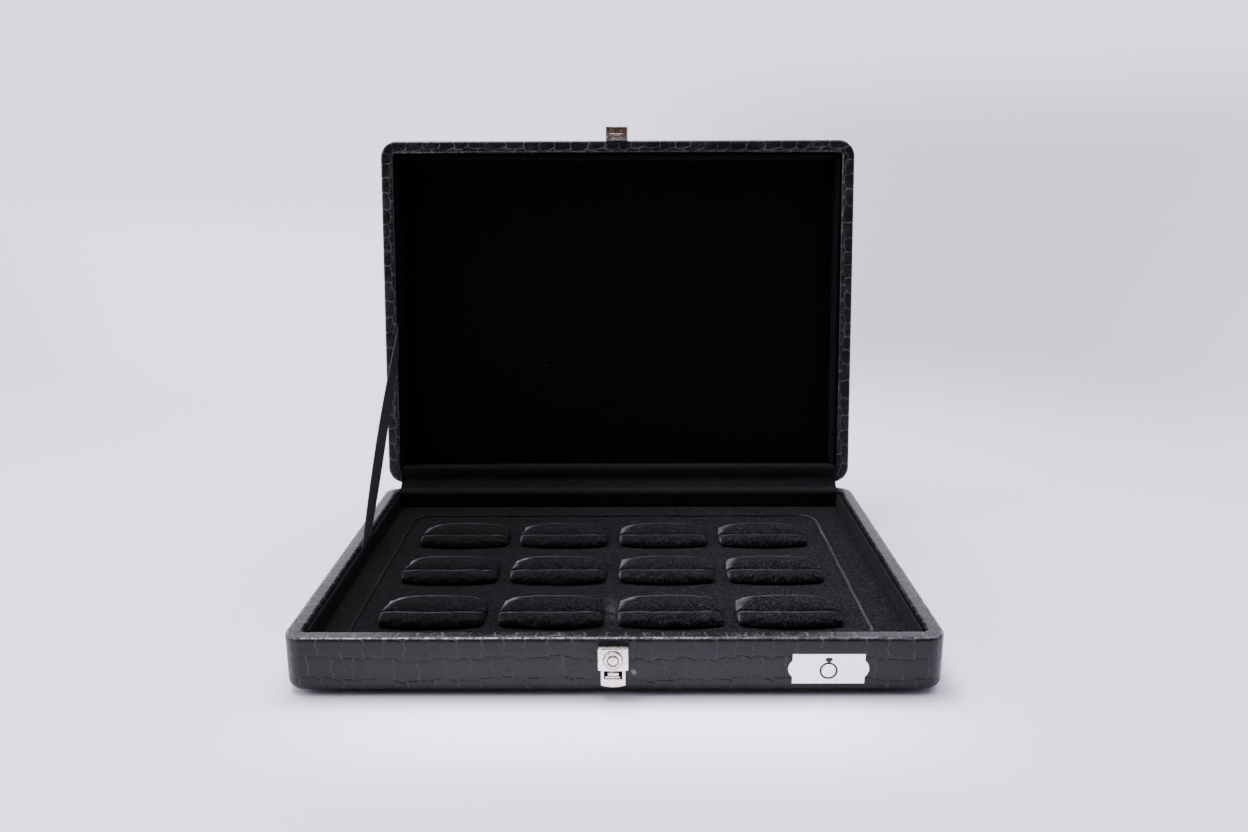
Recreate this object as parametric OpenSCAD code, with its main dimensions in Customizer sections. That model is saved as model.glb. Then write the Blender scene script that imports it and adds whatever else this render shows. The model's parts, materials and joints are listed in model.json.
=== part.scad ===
// Ring display box: a shallow leatherette case with a velvet tray of twelve
// ring holders, a cloth hinge, a stay ribbon and a small push-button lock.
// The box is drawn open. Origin: centre of the underside, Z up, hinge at +Y.

/* [Box] */
// Outside width
box_w = 240; // [225:1:300]
// Outside depth, front to hinge
box_d = 175; // [168:1:210]
// Height of the base wall, from its lower edge to the rim
base_h = 21; // [20.5:0.5:26]
// Height of the closed lid, from its rim to its top
lid_h = 19.2; // [18:0.2:24]
// Outside radius of the upright corners
corner_r = 8.2; // [8:0.1:11]
// Angle between the base and the open lid
open_angle = 98; // [92:1:104]

/* [Walls] */
// Thickness of the fibreboard rails
rail_t = 5; // [4.4:0.1:5.4]
// Thickness of the leatherette skin
skin_t = 0.7; // [0.5:0.1:0.8]
// Thickness of the floor panel in the base
floor_t = 2.5; // [2:0.1:3]
// Thickness of the top panel in the lid
top_t = 2; // [1.6:0.1:2.4]
// Thickness of the velvet-covered card liners
liner_t = 1.3; // [1:0.1:1.6]
// Thickness of the board that the box stands on
stand_h = 2; // [1.5:0.1:3]

/* [Tray] */
// Depth of the tray surface below the base rim
tray_drop = 7.6; // [7:0.1:8.5]
// Shift of the whole tray insert to one side
tray_shift = -1.6; // [-2:0.1:2]
// Width of one ring holder
holder_w = 41; // [36:0.5:42]
// Depth of one ring holder
holder_d = 25.5; // [20:0.5:28]
// Height of the crown of one ring holder
holder_h = 3.6; // [3:0.1:4.2]
// Distance between ring holders across the box
column_pitch = 46.3; // [44:0.1:50]
// Distance between ring holders front to back
row_pitch = 42; // [38:0.5:44]

/* [Lock] */
// Width of the upper part of the lock case
lock_w = 10.7; // [10:0.1:13]
// Depth of the lock case, out from the front wall
lock_d = 3.2; // [3.2:0.1:4]
// Diameter of the push button
button_dia = 3.5; // [3:0.1:4.2]
// Travel of the push button
button_travel = 0.55; // [0.3:0.05:0.6]

/* [Hidden] */

$fn = 64;
EPS = 0.01;
hw = box_w / 2;
hd = box_d / 2;
wall_t = rail_t + 2 * skin_t;

// Heights
base_z = stand_h;
rim_z = base_z + base_h;
parting_gap = 1;
lid_rim_z = rim_z + parting_gap;
lid_top_z = lid_rim_z + lid_h;
hinge_y = hd + 1.2;
hinge_z = rim_z + parting_gap / 2;

// Edge rounding of the wrapped walls
rim_edge_r = 1.4;
outer_edge_r = 2.7;
turn_in = 10;
turn_under = 14;
board_inset = 9;

// Liners: the gap behind them is glue and turned velvet
liner_gap = 0.5;
liner_drop = 0.9;
cloth_t = 0.5;
inner_x = hw - wall_t - liner_gap - liner_t;
inner_y = hd - wall_t - liner_gap - liner_t;
inner_corner_gap = 2;
floor_z = base_z + skin_t + floor_t;
lid_pad_t = 1.5;
lid_panel_z = lid_top_z - skin_t - top_t;

// Tray
tray_z = rim_z - tray_drop;
pad_clear = 0.1;
bead_w = 1.6;
bead_h = 0.8;
bead_r = 10;
bead_half_w = 99.9;
bead_rear_y = 64.6;
bead_front_y = -74;
columns = 4;
rows = 3;
slit_w = 1;
slit_depth = 2.8;
slit_front = 10.3;
first_slit_y = -54;
holder_side_h = 2.4;

// Lock, measured outwards from the front wall and down from the rim
front_y = -hd;
lock_x = -0.25;
lock_top = 3.05;
lock_step = 10.9;
lock_bottom = 17.4;
lock_low_w = 8.7;
lock_sheet = 0.4;
button_drop = 6.85;
button_fit = 0.15;
button_proud = 0.6;
flange_dia = 5;
flange_t = 0.35;
nose_dia = 1.8;
ring_dia = 7;
ring_sheet = 0.7;
prong_h = 3;
prong_l = 4;
leaf_w = 4;
leaf_t = 0.25;
leaf_out = button_travel + 0.05;
tongue_w = 6.4;
tongue_t = 0.5;
tongue_out = 1.15;
tongue_reach = 9.4;
hasp_w = 11;
hasp_out = 6.1;
hasp_low = 2.6;
nail_dia = 1.2;
nail_x = 3.2;
nail_up = 8.2;
nail_l = 4;

// Label
label_x = 77.2;
label_drop = 11.9;
label_w = 26;
label_h = 11.4;
label_bump_r = 4;
label_t = 0.15;

// Hinge cloth, spine and ribbon
hinge_w = 226;
spine_w = 222;
spine_t = 0.5;
spine_reach = 13;
ribbon_w = 10;
ribbon_t = 0.3;
ribbon_y = 13.6;
ribbon_bow = 1.8;
ribbon_tuck = 9;
ribbon_x = -(hw - wall_t - liner_gap / 2);

LEATHER = [0.16, 0.155, 0.17];
VELVET = [0.05, 0.048, 0.056];
BOARD = [0.55, 0.47, 0.36];
NICKEL = [0.80, 0.79, 0.77];
SATIN = [0.08, 0.08, 0.09];
PAPER = [0.93, 0.93, 0.92];

// ---- Shared outlines and moves ----

// Square block with upright rounded corners
module rounded_slab(half_x, half_y, r, z, h) {
  translate([0, 0, z])
    linear_extrude(h)
      union() {
        square([2 * (half_x - r), 2 * half_y], center = true);
        square([2 * half_x, 2 * (half_y - r)], center = true);
        for (sx = [-1, 1], sy = [-1, 1])
          translate([sx * (half_x - r), sy * (half_y - r)])
            circle(r);
      }
}

// Sliver that rounds the corner at the origin of stock lying toward (-sx, -sz)
module corner_sliver(r, sx, sz) {
  difference() {
    translate([sx * (0.1 - r) / 2, sz * (0.1 - r) / 2])
      square(r + 0.1, center = true);
    translate([-sx * r, -sz * r])
      circle(r);
  }
}

// Wall section: outer face on x = 0, stock toward -x, rim at rim_h,
// far edge at far_h; dir is 1 when the rim is up and -1 when it is down
module wall_section(inset, far_h, rim_h, dir) {
  low = min(far_h + dir * inset, rim_h - dir * inset);
  high = max(far_h + dir * inset, rim_h - dir * inset);
  difference() {
    translate([inset - wall_t, low])
      square([wall_t - 2 * inset, high - low]);
    translate([-inset, rim_h - dir * inset])
      corner_sliver(rim_edge_r - inset, 1, dir);
    translate([inset - wall_t, rim_h - dir * inset])
      corner_sliver(rim_edge_r - inset, -1, dir);
    translate([-inset, far_h + dir * inset])
      corner_sliver(outer_edge_r - inset, 1, -dir);
  }
}

// Skin over the wall section: turned over the rim, open inside below the turn-in
module skin_section(far_h, rim_h, dir) {
  inner_low = min(far_h + dir * skin_t, rim_h - dir * turn_in);
  inner_high = max(far_h + dir * skin_t, rim_h - dir * turn_in);
  difference() {
    wall_section(0, far_h, rim_h, dir);
    wall_section(skin_t, far_h, rim_h, dir);
    translate([-wall_t - 1, inner_low])
      square([1 + 2 * skin_t, inner_high - inner_low]);
  }
}

// Straight run of a wall section on the side that faces the angle turn
module wall_run(turn) {
  across = turn % 180 == 0;
  dist = across ? hw : hd;
  half = (across ? hd : hw) - corner_r;
  rotate([0, 0, turn])
    translate([dist, half, 0])
      rotate([90, 0, 0])
        linear_extrude(2 * half)
          children();
}

// Quarter turn of a wall section round an upright corner
module wall_corner(sx, sy) {
  turn = sx > 0 ? (sy > 0 ? 0 : 270) : (sy > 0 ? 90 : 180);
  translate([sx * (hw - corner_r), sy * (hd - corner_r), 0])
    rotate([0, 0, turn])
      rotate_extrude(angle = 90)
        translate([corner_r, 0])
          children();
}

// Front or rear rail with both corners; side is -1 for the front
module end_rail(side, far_h, rim_h, dir) {
  color(BOARD)
    union() {
      wall_run(side > 0 ? 90 : 270)
        wall_section(skin_t, far_h, rim_h, dir);
      for (sx = [-1, 1])
        wall_corner(sx, side)
          wall_section(skin_t, far_h, rim_h, dir);
    }
}

module side_rail(side, far_h, rim_h, dir) {
  color(BOARD)
    wall_run(side > 0 ? 0 : 180)
      wall_section(skin_t, far_h, rim_h, dir);
}

// Skin all round the four walls
module skin_ring(far_h, rim_h, dir) {
  for (turn = [0, 90, 180, 270])
    wall_run(turn)
      skin_section(far_h, rim_h, dir);
  for (sx = [-1, 1], sy = [-1, 1])
    wall_corner(sx, sy)
      skin_section(far_h, rim_h, dir);
}

// Liner boards; z and h are the height span
module end_liner(side, z, h) {
  color(VELVET)
    translate([0, side * (inner_y + liner_t / 2), z + h / 2])
      cube([2 * (hw - wall_t - inner_corner_gap), liner_t, h], center = true);
}

module side_liner(side, z, h) {
  front = -inner_y;
  rear = inner_y - cloth_t;
  color(VELVET)
    translate([side * (inner_x + liner_t / 2), (front + rear) / 2, z + h / 2])
      cube([liner_t, rear - front, h], center = true);
}

// Turns a piece drawn closed about the hinge to the open lid
module open_lid() {
  translate([0, hinge_y, hinge_z])
    rotate([-open_angle, 0, 0])
      translate([0, -hinge_y, -hinge_z])
        children();
}

// The same turn for a point [y, z]
function opened(p) =
  let (dy = p[0] - hinge_y, dz = p[1] - hinge_z)
  [
    hinge_y + dy * cos(open_angle) + dz * sin(open_angle),
    hinge_z - dy * sin(open_angle) + dz * cos(open_angle)
  ];

// Mirror image of a base point in the closed lid
function across_parting(p) = [p[0], 2 * hinge_z - p[1]];

function reversed(path) = [for (i = [len(path) - 1:-1:0]) path[i]];

// Unit normal at point i of a path, to the left of its direction
function path_normal(path, i) =
  let (
    a = path[max(i - 1, 0)],
    b = path[min(i + 1, len(path) - 1)],
    d = b - a
  )
  [-d[1], d[0]] / norm(d);

// Closed outline of a band between two offsets from a path
function band(path, low, high) = concat(
  [for (i = [0:len(path) - 1]) path[i] + low * path_normal(path, i)],
  reversed([for (i = [0:len(path) - 1]) path[i] + high * path_normal(path, i)])
);

// Extrudes a [y, z] outline along X, centred on x
module along_x(x, w) {
  translate([x - w / 2, 0, 0])
    rotate([90, 0, 90])
      linear_extrude(w)
        children();
}

// Places a lock piece: X along the front, Y out from the wall, Z up from the rim
module on_front(z) {
  translate([lock_x, front_y, z])
    mirror([0, 1, 0])
      children();
}

// ---- Base ----

module bottom_board() {
  color(LEATHER)
    rounded_slab(hw - board_inset, hd - board_inset, 3, 0, stand_h);
}

module base_floor_panel() {
  edge = rail_t + skin_t;
  color(BOARD)
    rounded_slab(hw - edge, hd - edge, corner_r - edge, base_z + skin_t, floor_t);
}

// Slots that the prongs of the lock case are driven into
module prong_slots(fit) {
  on_front(rim_z - button_drop)
    for (sx = [-1, 1])
      translate([sx * (lock_w - lock_sheet) / 2, -prong_l / 2, 0])
        cube([lock_sheet, prong_l + fit, prong_h], center = true);
}

module base_front_rail() {
  difference() {
    end_rail(-1, base_z, rim_z, 1);
    prong_slots(EPS);
  }
}

module base_rear_rail() {
  end_rail(1, base_z, rim_z, 1);
}

module base_left_rail() {
  side_rail(-1, base_z, rim_z, 1);
}

module base_right_rail() {
  side_rail(1, base_z, rim_z, 1);
}

module base_cover() {
  lap = 1;
  edge = wall_t - lap;
  color(LEATHER)
    difference() {
      union() {
        skin_ring(base_z, rim_z, 1);
        difference() {
          rounded_slab(hw - edge, hd - edge, corner_r - edge, base_z, skin_t);
          translate([0, 0, base_z])
            cube([2 * (hw - turn_under), 2 * (hd - turn_under), 4 * skin_t], center = true);
        }
      }
      prong_slots(EPS);
    }
}

module base_front_liner() {
  end_liner(-1, floor_z, rim_z - liner_drop - floor_z);
}

module base_rear_liner() {
  end_liner(1, floor_z, rim_z - liner_drop - floor_z);
}

module base_left_liner() {
  side_liner(-1, floor_z, rim_z - liner_drop - floor_z);
}

module base_right_liner() {
  side_liner(1, floor_z, rim_z - liner_drop - floor_z);
}

// Flat velvet tray that the ring holders stand on
module ring_pad() {
  rear = inner_y - cloth_t - pad_clear;
  front = -inner_y + pad_clear;
  color(VELVET)
    translate([0, (front + rear) / 2, (floor_z + tray_z) / 2])
      cube([2 * (inner_x - pad_clear), rear - front, tray_z - floor_z], center = true);
}

// Raised velvet piping round the ring holders
module tray_piping() {
  half_d = (bead_rear_y - bead_front_y) / 2;
  color(VELVET)
    translate([tray_shift, (bead_rear_y + bead_front_y) / 2, 0])
      difference() {
        rounded_slab(bead_half_w, half_d, bead_r, tray_z, bead_h);
        rounded_slab(
          bead_half_w - bead_w,
          half_d - bead_w,
          bead_r - bead_w,
          tray_z - 1,
          bead_h + 2
        );
      }
}

// One holder: crowned across its width, with a slit for the ring shank
module ring_holder(number) {
  column = (number - 1) % columns;
  row = floor((number - 1) / columns);
  crown = holder_h - holder_side_h;
  crown_r = (pow(holder_w / 2, 2) + crown * crown) / (2 * crown);
  x = tray_shift + (column - (columns - 1) / 2) * column_pitch;
  slit_y = first_slit_y + row * row_pitch;
  color(VELVET)
    translate([x, slit_y, tray_z])
      difference() {
        translate([0, holder_d - slit_front, 0])
          rotate([90, 0, 0])
            linear_extrude(holder_d)
              intersection() {
                translate([-holder_w / 2, 0])
                  square([holder_w, holder_h + 1]);
                translate([0, holder_h - crown_r])
                  circle(crown_r, $fn = 256);
              }
        translate([0, 0, holder_h - slit_depth + 5])
          cube([holder_w + 2, slit_w, 10], center = true);
      }
}

module front_label() {
  color(PAPER)
    translate([label_x, front_y, rim_z - label_drop])
      rotate([90, 0, 0])
        linear_extrude(label_t)
          union() {
            square([label_w, label_h], center = true);
            for (sx = [-1, 1])
              translate([sx * (label_w / 2 - label_bump_r + 1.5), 0])
                circle(label_bump_r);
          }
}

// ---- Lock on the base ----

// Front outline of the lock case: a square plate over a narrower apron
module lock_outline(inset) {
  low_half = lock_low_w / 2 - inset;
  apron = lock_bottom - lock_step;
  sag = 0.7;
  arc_r = (low_half * low_half + sag * sag) / (2 * sag);
  translate([-lock_w / 2 + inset, -lock_step + inset])
    square([lock_w - 2 * inset, lock_step - lock_top - 2 * inset]);
  intersection() {
    translate([-low_half, -lock_bottom])
      square([2 * low_half, apron + 2 * inset]);
    translate([0, arc_r - lock_bottom + inset])
      circle(arc_r, $fn = 180);
  }
}

// Pressed sheet-metal case with the button hole, ring, window and tongue slot
module lock_case() {
  window_w = 6.6;
  window_h = 3.3;
  window_drop = 12.75;
  slot_w = tongue_w + 1;
  slot_low = 0.6;
  slot_high = 2.4;
  color(NICKEL)
    on_front(rim_z)
      union() {
        difference() {
          rotate([90, 0, 0])
            mirror([0, 0, 1])
              linear_extrude(lock_d)
                lock_outline(0);
          rotate([90, 0, 0])
            mirror([0, 0, 1])
              translate([0, 0, -EPS])
                linear_extrude(lock_d - lock_sheet + EPS)
                  lock_outline(lock_sheet);
          translate([0, lock_d, -button_drop])
            rotate([90, 0, 0])
              cylinder(r = button_dia / 2 + button_fit, h = 4 * lock_sheet, center = true);
          translate([0, lock_d, -window_drop])
            cube([window_w, 4 * lock_sheet, window_h], center = true);
          translate([0, (slot_low + slot_high) / 2, -lock_top])
            cube([slot_w, slot_high - slot_low, 4 * lock_sheet], center = true);
        }
        translate([0, lock_d - EPS, -button_drop])
          rotate([-90, 0, 0])
            difference() {
              cylinder(r = ring_dia / 2, h = 0.3);
              translate([0, 0, -1])
                cylinder(r = ring_dia / 2 - ring_sheet, h = 3);
            }
        for (sx = [-1, 1])
          translate([sx * (lock_w - lock_sheet) / 2, (lock_sheet - prong_l) / 2, -button_drop])
            cube([lock_sheet, prong_l + lock_sheet, prong_h], center = true);
      }
}

// Leaf spring behind the button, held at its top by a yoke across the case; its
// catch stands in the tongue's window and its foot shows in the case's window
module lock_spring() {
  leaf_top = 4.6;
  leaf_low = 13.4;
  yoke_h = 1.1;
  catch_w = 2.4;
  catch_h = 1.6;
  catch_out = tongue_out + tongue_t;
  foot_h = 1.4;
  color(NICKEL)
    on_front(rim_z)
      union() {
        translate([-leaf_w / 2, leaf_out, -leaf_low])
          cube([leaf_w, leaf_t, leaf_low - leaf_top]);
        translate([lock_sheet - lock_w / 2, leaf_out, -leaf_top])
          cube([lock_w - 2 * lock_sheet, leaf_t, yoke_h]);
        translate([-catch_w / 2, leaf_out, -button_drop - catch_h / 2])
          cube([catch_w, catch_out - leaf_out, catch_h]);
        translate([-leaf_w / 2, leaf_out, -leaf_low])
          cube([leaf_w, lock_d - 0.2 - leaf_out, leaf_t]);
        translate([-leaf_w / 2, lock_d - 0.2 - leaf_t, -leaf_low])
          cube([leaf_w, leaf_t, foot_h]);
      }
}

module lock_button() {
  flange_out = lock_d - lock_sheet - 0.05;
  nose_l = flange_out - flange_t - tongue_out - tongue_t - 0.05;
  color(NICKEL)
    on_front(rim_z - button_drop)
      rotate([-90, 0, 0])
        union() {
          translate([0, 0, flange_out - flange_t])
            cylinder(r = flange_dia / 2, h = flange_t);
          translate([0, 0, flange_out - flange_t / 2])
            cylinder(r = button_dia / 2, h = lock_d + button_proud - flange_out + flange_t / 2);
          translate([0, 0, flange_out - flange_t - nose_l])
            cylinder(r = nose_dia / 2, h = nose_l + flange_t / 2);
        }
}

// ---- Cloth hinge, spine and stay ribbon ----

// Base half of the hinge cloth, up the rear liner and out over the rim
base_cloth_path = [
  [inner_y, tray_z + 0.2],
  [inner_y, (tray_z + rim_z) / 2],
  [inner_y, rim_z - liner_drop],
  [inner_y + 0.35, rim_z - 0.35],
  [inner_y + 1.3, rim_z + EPS],
  [hd - wall_t + rim_edge_r, rim_z + EPS],
  [hd - rim_edge_r, rim_z + EPS]
];

// Full cloth: the base half, then the same half in the open lid
cloth_path = concat(
  base_cloth_path,
  reversed([for (p = base_cloth_path) opened(across_parting(p))])
);

module hinge_cloth() {
  color(VELVET)
    along_x(0, hinge_w)
      polygon(band(cloth_path, 0, cloth_t));
}

// Base half of the outer spine, up the back of the base
spine_y = hd + 2 * EPS;
base_spine_path = [
  [spine_y, rim_z - spine_reach],
  [spine_y, rim_z - spine_reach / 2],
  [spine_y, rim_z - outer_edge_r / 2],
  [spine_y + 0.25, rim_z - 0.4]
];

spine_path = concat(
  base_spine_path,
  reversed([for (p = base_spine_path) opened(across_parting(p))])
);

module hinge_spine() {
  color(LEATHER)
    along_x(0, spine_w)
      polygon(band(spine_path, -spine_t, 0));
}

// Middle line of the ribbon: tucked behind both left liners, bowed between them
ribbon_low = [ribbon_y, rim_z - liner_drop];
ribbon_high = opened(across_parting(ribbon_low));
ribbon_dir = (ribbon_high - ribbon_low) / norm(ribbon_high - ribbon_low);
ribbon_side = [-ribbon_dir[1], ribbon_dir[0]];
ribbon_path = [
  for (s = [0:0.05:1])
    ribbon_low + s * (ribbon_high - ribbon_low) + ribbon_bow * sin(180 * s) * ribbon_side
];
ribbon_ends = concat(
  [ribbon_low - ribbon_tuck * ribbon_dir],
  ribbon_path,
  [ribbon_high + ribbon_tuck * ribbon_dir]
);

module stay_ribbon() {
  color(SATIN)
    along_x(ribbon_x, ribbon_t)
      polygon(band(ribbon_ends, -ribbon_w / 2, ribbon_w / 2));
}

// ---- Lid, drawn closed and turned open ----

module lid_top_panel() {
  edge = rail_t + skin_t;
  open_lid()
    color(BOARD)
      rounded_slab(hw - edge, hd - edge, corner_r - edge, lid_panel_z, top_t);
}

// Holes for the nails that hold the hasp
module nail_holes() {
  on_front(lid_rim_z + nail_up)
    for (sx = [-1, 1])
      translate([sx * nail_x, lock_sheet - nail_l, 0])
        rotate([-90, 0, 0])
          cylinder(r = nail_dia / 2, h = nail_l + 1);
}

module lid_front_rail() {
  open_lid()
    difference() {
      end_rail(-1, lid_top_z, lid_rim_z, -1);
      nail_holes();
    }
}

module lid_rear_rail() {
  open_lid()
    end_rail(1, lid_top_z, lid_rim_z, -1);
}

module lid_left_rail() {
  open_lid()
    side_rail(-1, lid_top_z, lid_rim_z, -1);
}

module lid_right_rail() {
  open_lid()
    side_rail(1, lid_top_z, lid_rim_z, -1);
}

module lid_cover() {
  lap = 1;
  edge = wall_t - lap;
  open_lid()
    color(LEATHER)
      difference() {
        union() {
          skin_ring(lid_top_z, lid_rim_z, -1);
          rounded_slab(
            hw - edge,
            hd - edge,
            corner_r - edge,
            lid_top_z - skin_t,
            skin_t
          );
        }
        nail_holes();
      }
}

module lid_front_liner() {
  open_lid()
    end_liner(-1, lid_rim_z + liner_drop, lid_panel_z - lid_pad_t - lid_rim_z - liner_drop);
}

module lid_rear_liner() {
  open_lid()
    end_liner(1, lid_rim_z + liner_drop, lid_panel_z - lid_pad_t - lid_rim_z - liner_drop);
}

module lid_left_liner() {
  open_lid()
    side_liner(-1, lid_rim_z + liner_drop, lid_panel_z - lid_pad_t - lid_rim_z - liner_drop);
}

module lid_right_liner() {
  open_lid()
    side_liner(1, lid_rim_z + liner_drop, lid_panel_z - lid_pad_t - lid_rim_z - liner_drop);
}

module lid_pad() {
  edge = wall_t + liner_gap / 2;
  open_lid()
    color(VELVET)
      rounded_slab(hw - edge, hd - edge, 1, lid_panel_z - lid_pad_t, lid_pad_t);
}

// Stamped cowl over the tongue, with a flat flange nailed to the lid
module hasp_cover() {
  cowl_h = hasp_low + 6;
  cowl_back = 0.3;
  flange_low = 1;
  flange_high = nail_up + 2.2;
  cowl_mid = -3;
  open_lid()
    color(NICKEL)
      difference() {
        on_front(lid_rim_z)
          union() {
            difference() {
              along_x(0, hasp_w)
                intersection() {
                  translate([cowl_back, -hasp_low - parting_gap])
                    square([hasp_out, cowl_h]);
                  translate([cowl_mid, -hasp_low - parting_gap])
                    circle(hasp_out - cowl_mid);
                }
              along_x(0, hasp_w - 2 * tongue_t)
                intersection() {
                  translate([cowl_back - 1, -hasp_low - parting_gap - 1])
                    square([hasp_out + 2, cowl_h + 2]);
                  translate([cowl_mid, -hasp_low - parting_gap])
                    circle(hasp_out - cowl_mid - tongue_t);
                }
            }
            translate([-hasp_w / 2, 0, flange_low])
              cube([hasp_w, tongue_t, flange_high - flange_low]);
          }
        nail_holes();
      }
}

// Tongue riveted inside the cowl, bent back to reach down into the lock
module hasp_tongue() {
  tip = lid_rim_z - rim_z + tongue_reach;
  window_w = 3.2;
  window_h = 2.4;
  window_drop = lid_rim_z - rim_z + button_drop;
  root_out = 1.9;
  root_top = 2.8;
  open_lid()
    color(NICKEL)
      on_front(lid_rim_z)
        difference() {
          along_x(0, tongue_w)
            polygon([
              [tongue_out, -tip],
              [tongue_out + tongue_t, -tip],
              [tongue_out + tongue_t, -0.2],
              [root_out + tongue_t, 0.8],
              [root_out + tongue_t, root_top],
              [tongue_t, root_top],
              [tongue_t, root_top - tongue_t],
              [root_out, root_top - tongue_t],
              [root_out, 1],
              [tongue_out, 0]
            ]);
          translate([0, tongue_out, -window_drop])
            cube([window_w, 4 * tongue_t, window_h], center = true);
        }
}

module hasp_nails() {
  open_lid()
    color(NICKEL)
      on_front(lid_rim_z + nail_up)
        for (sx = [-1, 1])
          translate([sx * nail_x, lock_sheet - nail_l, 0])
            rotate([-90, 0, 0])
              union() {
                cylinder(r = nail_dia / 2, h = nail_l + 0.3);
                translate([0, 0, nail_l - lock_sheet + tongue_t])
                  cylinder(r = nail_dia, h = 0.4);
              }
}

bottom_board();
base_floor_panel();
base_front_rail();
base_rear_rail();
base_left_rail();
base_right_rail();
base_cover();
base_front_liner();
base_rear_liner();
base_left_liner();
base_right_liner();
ring_pad();
tray_piping();
ring_holder(1);  // ring_holder_1
ring_holder(2);  // ring_holder_2
ring_holder(3);  // ring_holder_3
ring_holder(4);  // ring_holder_4
ring_holder(5);  // ring_holder_5
ring_holder(6);  // ring_holder_6
ring_holder(7);  // ring_holder_7
ring_holder(8);  // ring_holder_8
ring_holder(9);  // ring_holder_9
ring_holder(10);  // ring_holder_10
ring_holder(11);  // ring_holder_11
ring_holder(12);  // ring_holder_12
front_label();
lock_case();
lock_spring();
lock_button();
hinge_cloth();
hinge_spine();
stay_ribbon();
lid_top_panel();
lid_front_rail();
lid_rear_rail();
lid_left_rail();
lid_right_rail();
lid_cover();
lid_front_liner();
lid_rear_liner();
lid_left_liner();
lid_right_liner();
lid_pad();
hasp_cover();
hasp_tongue();
hasp_nails();
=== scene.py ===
"""Looks of the ring display box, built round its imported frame.

Shapes are worked out in millimetres with the lid closed where that is simpler,
and turned to metres and to the open lid as each mesh is made.
"""

import json
import math

import bpy
import numpy as np
from mathutils import Matrix, Vector


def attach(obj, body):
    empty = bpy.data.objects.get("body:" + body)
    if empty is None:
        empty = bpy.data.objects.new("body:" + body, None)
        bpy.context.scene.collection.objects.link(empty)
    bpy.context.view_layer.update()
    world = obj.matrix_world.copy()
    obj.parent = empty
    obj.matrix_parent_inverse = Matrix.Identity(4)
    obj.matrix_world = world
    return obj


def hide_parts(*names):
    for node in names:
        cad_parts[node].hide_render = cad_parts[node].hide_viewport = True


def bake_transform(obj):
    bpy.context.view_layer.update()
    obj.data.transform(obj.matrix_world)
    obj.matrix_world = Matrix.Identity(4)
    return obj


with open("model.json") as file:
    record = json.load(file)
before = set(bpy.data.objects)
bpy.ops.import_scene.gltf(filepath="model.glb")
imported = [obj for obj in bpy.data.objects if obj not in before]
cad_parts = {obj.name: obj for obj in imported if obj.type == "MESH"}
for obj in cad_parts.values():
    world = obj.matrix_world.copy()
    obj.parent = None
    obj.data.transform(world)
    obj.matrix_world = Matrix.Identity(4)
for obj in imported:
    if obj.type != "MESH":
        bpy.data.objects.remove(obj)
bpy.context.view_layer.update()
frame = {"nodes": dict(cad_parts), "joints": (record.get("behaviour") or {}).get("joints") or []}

MM = 0.001
NODES = frame["nodes"]


# ---- Places, read from the frame ----

def corners(points):
    return points.min(0), points.max(0)


def node_points(node):
    """A CAD node's vertices in millimetres."""
    return np.array([v.co for v in NODES[node].data.vertices], float) / MM


def node_corners(node):
    return corners(node_points(node))


def joint(name):
    return next(j for j in frame["joints"] if j["name"] == name)


BASE_LOW, BASE_HIGH = node_corners("base_cover")
HALF_W, HALF_D, RIM_Z = BASE_HIGH
BASE_Z = BASE_LOW[2]
_, HINGE_Y, HINGE_Z = np.array(joint("lid_hinge")["pos_m"]) / MM
OPEN_ANGLE = math.radians(joint("lid_hinge")["range_deg"][1])


def turned(points, angle):
    """Points turned about the lid hinge; a positive angle opens the lid."""
    x, y, z = np.asarray(points, float).T
    y, z = y - HINGE_Y, z - HINGE_Z
    c, s = math.cos(angle), math.sin(angle)
    return np.stack([x, HINGE_Y + y * c + z * s, HINGE_Z - y * s + z * c], 1)


def opened(points):
    return turned(points, OPEN_ANGLE)


def closed_corners(node):
    """Lowest and highest corner of a lid node with the lid closed."""
    return corners(turned(node_points(node), -OPEN_ANGLE))


LID_LOW, LID_HIGH = closed_corners("lid_cover")
LID_RIM_Z, LID_TOP_Z = LID_LOW[2], LID_HIGH[2]

# Leatherette skin, as the CAD wraps it
CORNER_R = 8.2
WALL_T = 6.4
SKIN_T = 0.7
RIM_R = 1.4
EDGE_R = 2.7
TURN_IN = 10
TURN_UNDER = 14
PERIOD = 4 * (HALF_W + HALF_D) - (8 - 2 * math.pi) * CORNER_R

# Its embossed scales, in rows like bricks
CELL_W = PERIOD / 104
CELL_H = 8.4
CELL_R = 1.0
CELL_ARCH = 0.14
BASE_SHIFT = 1.5
LID_SHIFT = 4.6
RELIEF_DEPTH = 0.1

# Steps of the skin's lattice: along the base's walls, across them, and both ways on the lid
BASE_STEP = 0.66
BASE_ROW_STEP = 0.62
LID_STEP = 0.72

# Marks on the front: the hasp's dent, darkened with painted shade, and a scratch with a painted
# glint, placed from the lock's middle and the rim
DENT_HALF_W = 5.6
DENT_DEPTH = 0.3
GLINT_RIGHT = 7.4
GLINT_DROP = 13.2

# Ring holders, as the CAD places them, and how their cushions are shaped
SLIT_FRONT = 10.3
SLIT_GAP = 0.4
SLIT_HALF = 0.25
PAD_SINK = 0.3
SWELL_ROOM = 0.35
LOBE_EDGE = 1.2
LOBE_STEP = 1.9
LOBE_SIDE_DROP = 0.24
FRONT_BOW = 2.8
REAR_BOW = 2.0
LOBE_PULL = 0.8
LOBE_RIPPLE = 0.14

# Cloth simulation of the cushions, run at a larger scale than life
CLOTH_SCALE = 0.02
CLOTH_FRAMES = 20
CUSHION_PRESSURE = 4.0
MAX_SWELL = 1.2

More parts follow.
